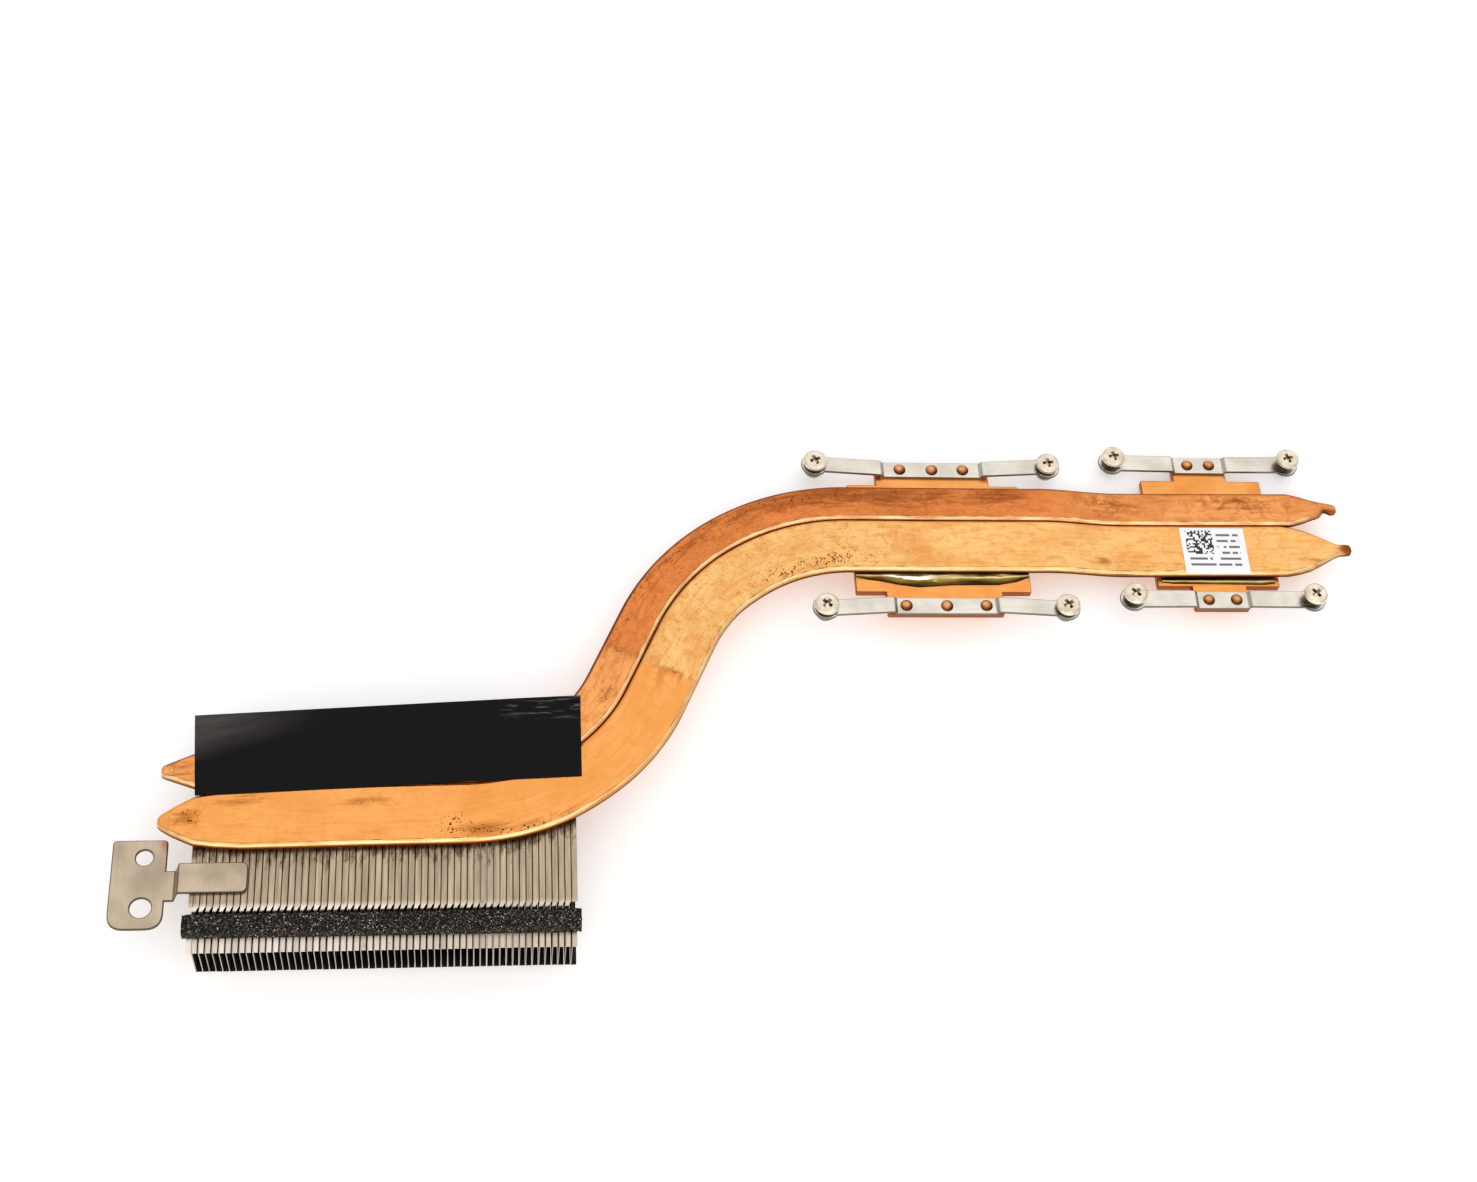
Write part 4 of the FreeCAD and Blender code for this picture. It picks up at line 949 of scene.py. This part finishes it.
def rivet_form():
    """A peened rivet, with a painted highlight on its dome toward the far left and painted shade where it
    meets the arm.
    """
    points, faces = lathe(RIVET_PROFILE, 24)
    mesh = form_mesh("rivet", points, faces)
    # painted shade toward the rim, off centre so that the painted highlight sits to the far left
    carry(mesh, "painted_shade_and_cut_edge", [eased(math.hypot(x + 0.2, y - 0.2), 0.35, 0.95) for x, y, _ in points])
    return mesh


for plate, rows in RIVET_ROWS.items():
    sizes = PLATES[plate]
    for side, (count, space) in rows.items():
        start = (sizes["x"] - space * (count - 1) / 2, sizes["y"] + SIDES[side] * sizes["arms"] / 2,
                 sizes["low"] + PLATE_THICK + ARM_THICK)
        row_of(f"{plate}_{side}_rivets", rivet_form(), RIVET_COPPER, "copper_rivet",
               [f"{plate}_{side}_rivet_{k + 1}" for k in range(count)], angle=50.0, Count=count,
               Start=tuple(c * MM for c in start), Step=(space * MM, 0, 0), Seed=5 + count, **RIVET_SPREAD)

HEAD_HEIGHT = 1.1
HEAD_PROFILE = [(0, HEAD_HEIGHT), (1.4, HEAD_HEIGHT), (1.98, 1.09), (2.22, 1.0), (2.36, 0.88), (2.4, 0.76),
                (2.4, 0.42), (2.34, 0.32), (1.75, 0.26), (1.7, 0.0), (0, 0.0)]
SHANK_TOP, SHANK_LENGTH, SHANK_RADIUS, TIP_RADIUS, TIP_LENGTH = 0.2, 4.4, 1.0, 0.62, 0.35
THREAD_PITCH, THREAD_FROM, THREAD_DEPTH, NECK_DEPTH = 0.4, 2.4, 0.2, 0.12
# height, reach and half width of the cross recess, from its floor to above the head
CROSS_LEVELS = ((0.35, 0.45, 0.2), (1.12, 1.12, 0.36), (1.5, 1.3, 0.45))


def cross_cutter():
    """The solid that a cross recess is cut with, wider toward the top."""
    points = []
    for height, reach, wide in CROSS_LEVELS:
        for k in range(4):
            c, s = math.cos(k * math.pi / 2), math.sin(k * math.pi / 2)
            points += [(a * c - b * s, a * s + b * c, height)
                       for a, b in ((reach, -wide), (reach, wide), (wide, wide))]
    return form_mesh("cross", points, stitched(len(CROSS_LEVELS), 12))


def screw_head():
    """Points and faces of a bevelled head with its cross recess."""
    head = show("head", outward(form_mesh("head", *lathe(HEAD_PROFILE, 40))))
    cutter = show("cutter", outward(cross_cutter()))
    cut = head.modifiers.new("cut", "BOOLEAN")
    cut.operation, cut.object, cut.solver = "DIFFERENCE", cutter, "EXACT"
    shaped = applied(head)
    for thing in (head, cutter):
        bpy.data.objects.remove(thing)
    points = [tuple(c / MM for c in v.co) for v in shaped.vertices]
    return points, [tuple(face.vertices) for face in shaped.polygons]


def screw_form():
    """A captive screw: bevelled head with a cross recess, a plain neck and a cut thread."""
    points, faces = screw_head()
    first, steps, rows = len(points), 20, 1
    height = SHANK_TOP
    while height > TIP_LENGTH - SHANK_LENGTH:
        neck = NECK_DEPTH * (1.0 - eased(-height, THREAD_FROM - 0.2, 0.3)) * eased(-height, 0.3, 0.2)
        for k in range(steps):
            turn = (-height / THREAD_PITCH + k / steps) % 1.0
            depth = THREAD_DEPTH * abs(2 * turn - 1) * eased(-height, THREAD_FROM, 0.3)
            radius, angle = SHANK_RADIUS - depth - neck, math.tau * k / steps
            points.append((radius * math.cos(angle), radius * math.sin(angle), height))
        rows += 1
        height -= 0.1 if height < -THREAD_FROM + 0.2 else 0.6
    points += circle(TIP_RADIUS, -SHANK_LENGTH, steps)
    faces += [tuple(first + i for i in face) for face in stitched(rows, steps)]
    mesh = form_mesh("captive_screw", points, faces)
    # painted shade on the walls of the recess, the underside of the head and the shank; the floor of the
    # recess gets almost none
    dull = []
    for face in mesh.polygons:
        away, high = face.center.xy.length / MM, face.center.z / MM
        recess = away < 1.45 and high < 1.09
        dull.append(1.0 if high < 0.3 else 0.0 if not recess else 0.05 if high < 0.45 else 0.75)
    carry(mesh, "painted_shade_and_cut_edge", dull, domain="FACE")
    return mesh


# how far each cross recess is turned, in degrees
SCREW_TURNS = {"wide_far_left": 22, "wide_far_right": 8, "wide_near_left": 48, "wide_near_right": 30,
               "narrow_far_left": 12, "narrow_far_right": 16, "narrow_near_left": 44, "narrow_near_right": 40}
SCREW_FORM = screw_form()
for plate, sizes in PLATES.items():
    for side in SIDES:
        for end in ENDS:
            key = f"{plate}_{side}_{end}"
            place = (sizes["x"] + ENDS[end] * sizes["screws"][0] / 2,
                     sizes["y"] + SIDES[side] * sizes["screws"][1] / 2,
                     box_mm(key + "_screw")[1][2] - HEAD_HEIGHT)
            row_of(key + "_screw", SCREW_FORM.copy(), SCREW_NICKEL, "nickel_screw", [key + "_screw"],
                   key + "_fastener", 18.0, Start=tuple(c * MM for c in place),
                   Turn=(0, 0, math.radians(SCREW_TURNS[key])))
            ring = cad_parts[key + "_ring"]
            ring.data.materials.clear()
            ring.data.materials.append(RING_STEEL)


def foam_strip():
    """A strip of foam with pores sunk into its faces and ragged cut ends."""
    (left, front, low), (right, back, high) = box_mm("foam_strip")
    along, foot, corner, spacing, pore_size, inset = 420, 0.15, 0.5, 0.22, 0.62, 0.15
    loop = rounded([(front, low, foot), (back, low, foot), (back, high, corner), (front, high, corner)], 4)
    ring = []
    for (y0, z0), (y1, z1) in zip(loop, loop[1:] + loop[:1]):
        count = max(1, round(math.hypot(y1 - y0, z1 - z0) / spacing))
        ring += [(y0 + (y1 - y0) * k / count, z0 + (z1 - z0) * k / count) for k in range(count)]
    mid_y, mid_z = (front + back) / 2, (low + high) / 2
    points = []
    for i in range(along + 1):
        x = left + inset + (right - left - 2 * inset) * i / along
        for y, z in ring:
            spot = Vector((x, y, z)) / pore_size
            pore = max(0.0, 0.5 - noise.voronoi(spot)[0][0]) * 0.5 + 0.12 * abs(noise.noise(spot * 0.4))
            sink = 1.0 - min(0.3, pore) / max(abs(y - mid_y), abs(z - mid_z), 0.8)
            ragged = 0.12 * noise.noise(Vector((y * 1.3, z * 1.3, 2 * i // along)))
            points.append((x + {0: -ragged, along: ragged}.get(i, 0.0), mid_y + (y - mid_y) * sink,
                           max(mid_z + (z - mid_z) * sink, low)))
    mesh = form_mesh("foam_strip", points, stitched(along + 1, len(ring)))
    made = settle("foam_strip", mesh, FOAM, ["foam_strip"], angle=70.0)


foam_strip()


def sheet_piece(name, across, along, place, thick, corner, finish):
    """A thin sheet over a grid, with flat coordinates from one corner; place gives its lower face."""
    points, faces = [], []
    for level in (0.0, thick):
        for i in range(along + 1):
            for j in range(across + 1):
                x, y, z = place(i / along, j / across)
                points.append((x, y, z + level))
    row, layer = across + 1, (across + 1) * (along + 1)
    for i in range(along):
        for a in range(i * row, i * row + across):
            faces.append((a, a + 1, a + row + 1, a + row))
            faces.append((layer + a, layer + a + row, layer + a + row + 1, layer + a + 1))
    border = list(range(row)) + [i * row + across for i in range(1, along + 1)]
    border += [along * row + j for j in range(across - 1, -1, -1)]
    border += [i * row for i in range(along - 1, 0, -1)]
    for a, b in zip(border, border[1:] + border[:1]):
        faces.append((a, b, layer + b, layer + a))
    mesh = form_mesh(name, points, faces)
    flat = [c for x, y, _ in points for c in ((x - corner[0]) * MM, (y - corner[1]) * MM, 0.0)]
    carry(mesh, "sheet", flat, "FLOAT_VECTOR")
    settle(name, mesh, finish, [name], angle=60.0)


# The tape's edges run from left to right, near and far, and its free back droops behind the pipes.
TAPE_NEAR = (Vector((FIN_LEFT - 0.8, GROOVE_Y - 2.4)), Vector((FIN_LEFT + 67.7, GROOVE_Y + 1.0)))
TAPE_FAR = (Vector((FIN_LEFT - 1.9, GROOVE_Y + 14.1)), Vector((FIN_LEFT + 67.7, GROOVE_Y + 17.8)))
TAPE_THICK, TAPE_LIFT = 0.1, 0.03


def tape_place(u, v):
    """A point of the tape's lower face, which droops behind the pipes and is creased on the right."""
    x, y = TAPE_NEAR[0].lerp(TAPE_NEAR[1], u).lerp(TAPE_FAR[0].lerp(TAPE_FAR[1], u), v)
    droop = 0.05 * max(0.0, (y + 15.5) - 0.16 * (x + 106.0)) ** 1.25
    crease = 0.45 * hump(y, -7.2 - 0.04 * (x + 40), 0.45) * eased(x, -56.0, 10.0)
    fold = 0.55 * hump(y, -6.3 + 0.12 * (x + 40), 0.3) * eased(x, -47.0, 5.0)
    wave = 0.08 * noise.noise(Vector((x / 9.0, y / 4.0, 2.0))) * eased(y, -16.0, 6.0)
    return x, y, PIPE_LOW + PIPE_THICK + TAPE_LIFT - droop + crease + fold + wave


sheet_piece("black_tape", 60, 150, tape_place, TAPE_THICK, (TAPE_FAR[0].x, TAPE_NEAR[0].y), TAPE)

(LABEL_LEFT, LABEL_NEAR, LABEL_LOW), (LABEL_RIGHT, LABEL_BACK, _) = box_mm("label")
LABEL_WIDTH, LABEL_DEPTH, LABEL_FLAT = LABEL_RIGHT - LABEL_LEFT, 11.3, 9.9
LABEL_THICK, LABEL_SHIFT, LABEL_LIFT = 0.07, 0.3, 0.005
LABEL_Y = (LABEL_NEAR + LABEL_BACK) / 2


def label_place(u, v):
    """A point of the label's lower face, which is wrapped over both round sides of the pipe."""
    across, radius = LABEL_DEPTH * (v - 0.5), PIPE_THICK / 2
    over = max(0.0, abs(across) - LABEL_FLAT / 2)
    drop = radius - math.sqrt(max(radius ** 2 - over ** 2, 0.0))
    return LABEL_LEFT + LABEL_WIDTH * u, LABEL_Y + LABEL_SHIFT + across, LABEL_LOW + LABEL_LIFT - drop


sheet_piece("label", 24, 20, label_place, LABEL_THICK,
            (LABEL_LEFT, LABEL_Y + LABEL_SHIFT - LABEL_DEPTH / 2), PAPER)


BEAD_BACK = 22.9


def solder_bead(plate, left, right, reach, height):
    """Solder drawn up between plate and pipe: a bulging bead that thins toward both ends."""
    name, back, low = f"{plate}_solder_bead", BEAD_BACK, PLATES[plate]["low"] + PLATE_THICK
    stations, arcs, sunk, hidden = 90, 16, 0.02, 0.6
    points, flow = [], []
    for i in range(stations + 1):
        t = i / stations
        swell = between(reach, t)
        x = left + (right - left) * t
        full = height * (0.35 + 0.65 * min(1.0, swell / 2.0))
        for j in range(arcs + 1):
            a = j / arcs
            points.append((x, back - swell * a, low + sunk + full * math.sqrt(max(1 - a ** 2.2, 0.0))))
            flow.append(a)
        points += [(x, back - swell, low - sunk), (x, back + hidden, low - sunk),
                   (x, back + hidden, low + height * 0.8)]
        flow += [1.0, 0.0, 0.0]
    mesh = form_mesh(name, points, stitched(stations + 1, arcs + 4))
    carry(mesh, "flow", flow)
    settle(name, mesh, SOLDER, [name], angle=60.0)


# share of the length against how far the solder runs out from the pipe
WIDE_BEAD = [(0.0, 0.5), (0.06, 1.1), (0.14, 1.5), (0.24, 2.3), (0.36, 2.9), (0.46, 2.6), (0.56, 2.35),
             (0.82, 2.25), (0.93, 1.5), (1.0, 0.5)]
NARROW_BEAD = [(0.0, 0.5), (0.1, 0.8), (0.5, 0.85), (0.9, 0.95), (1.0, 0.6)]
solder_bead("wide", 16.6, 51.5, WIDE_BEAD, 0.85)
solder_bead("narrow", 79.4, 103.2, NARROW_BEAD, 0.5)

# The part lies on its fins and its near screws, so the floor slopes a little under it.
FLOOR_REACH, FLOOR_SLOPE, FLOOR_TOUCH, FLOOR_GAP = 20.0, 0.1109, -16.108 * MM, 0.1 * MM
floor_mesh = bpy.data.meshes.new("floor")
floor_corners = [(x * FLOOR_REACH, y * FLOOR_REACH) for x, y in ((-1, -1), (1, -1), (1, 1), (-1, 1))]
floor_mesh.from_pydata([(x, y, FLOOR_SLOPE * (y - FLOOR_TOUCH) - FLOOR_GAP) for x, y in floor_corners], [],
                       [(0, 1, 2, 3)])


def paper_floor():
    """White paper: a hardly visible mottle, and a little light of its own so that it stays white."""
    made, tree, shader = material("white_paper_floor", 0.0, 0.7)
    place = add(tree, "ShaderNodeTexCoord", out="Object")
    grain = add(tree, "ShaderNodeTexNoise", {"Vector": place, "Scale": per_mm(40), "Detail": 2.0})
    tone = add(tree, "ShaderNodeValToRGB", {"Fac": grain}, [(0.3, "#f6f6f6"), (0.7, "#f9f9f9")])
    feed(tree, shader, {"Base Color": tone, "Emission Color": colour("#ffffff"), "Emission Strength": 0.25})
    return made


floor_mesh.materials.append(paper_floor())
floor = show("floor", floor_mesh)

scene = bpy.context.scene
scene.view_settings.view_transform = "Standard"
scene.world = bpy.data.worlds.new("studio")
scene.world.use_nodes = True
studio = scene.world.node_tree
feed(studio, studio.nodes["Background"], {"Color": colour("#ffffff"), "Strength": 0.74})

# place, width and depth in metres, and watts of each soft light
SOFTBOXES = {"overhead_softbox": ((0.1, -0.3, 1.25), 1.6, 1.2, 2.3),
             "front_softbox": ((-0.05, -1.05, 0.62), 1.7, 0.75, 3.8),
             "back_softbox": ((0.15, 0.60, 1.0), 1.5, 0.8, 1.2)}
for name, (place, wide, deep, power) in SOFTBOXES.items():
    lamp = bpy.data.lights.new(name, "AREA")
    lamp.shape, lamp.size, lamp.size_y, lamp.energy = "RECTANGLE", wide, deep, power
    softbox = show(name, lamp)
    softbox.location = place
    softbox.rotation_euler = (-Vector(place)).to_track_quat("-Z", "Y").to_euler()

camera = bpy.data.cameras.new("camera")
camera.sensor_fit, camera.sensor_width = "HORIZONTAL", 36.0
camera.lens, camera.shift_x, camera.clip_start = 56.47266, -0.0700745, 0.01
# the camera's own directions and place, fitted to the photograph
CAMERA_RIGHT, CAMERA_DOWN = (0.988351, -0.07603, 0.131843), (0.004257, -0.852129, -0.523314)
CAMERA_AHEAD, CAMERA_PLACE = (0.152135, 0.517779, -0.841879), (-0.055595, -0.216312, 0.393667)
eye = show("camera", camera)
eye.matrix_world = Matrix([(right, -down, -ahead, place) for right, down, ahead, place
                           in zip(CAMERA_RIGHT, CAMERA_DOWN, CAMERA_AHEAD, CAMERA_PLACE)] + [(0, 0, 0, 1)])
scene.camera = eye
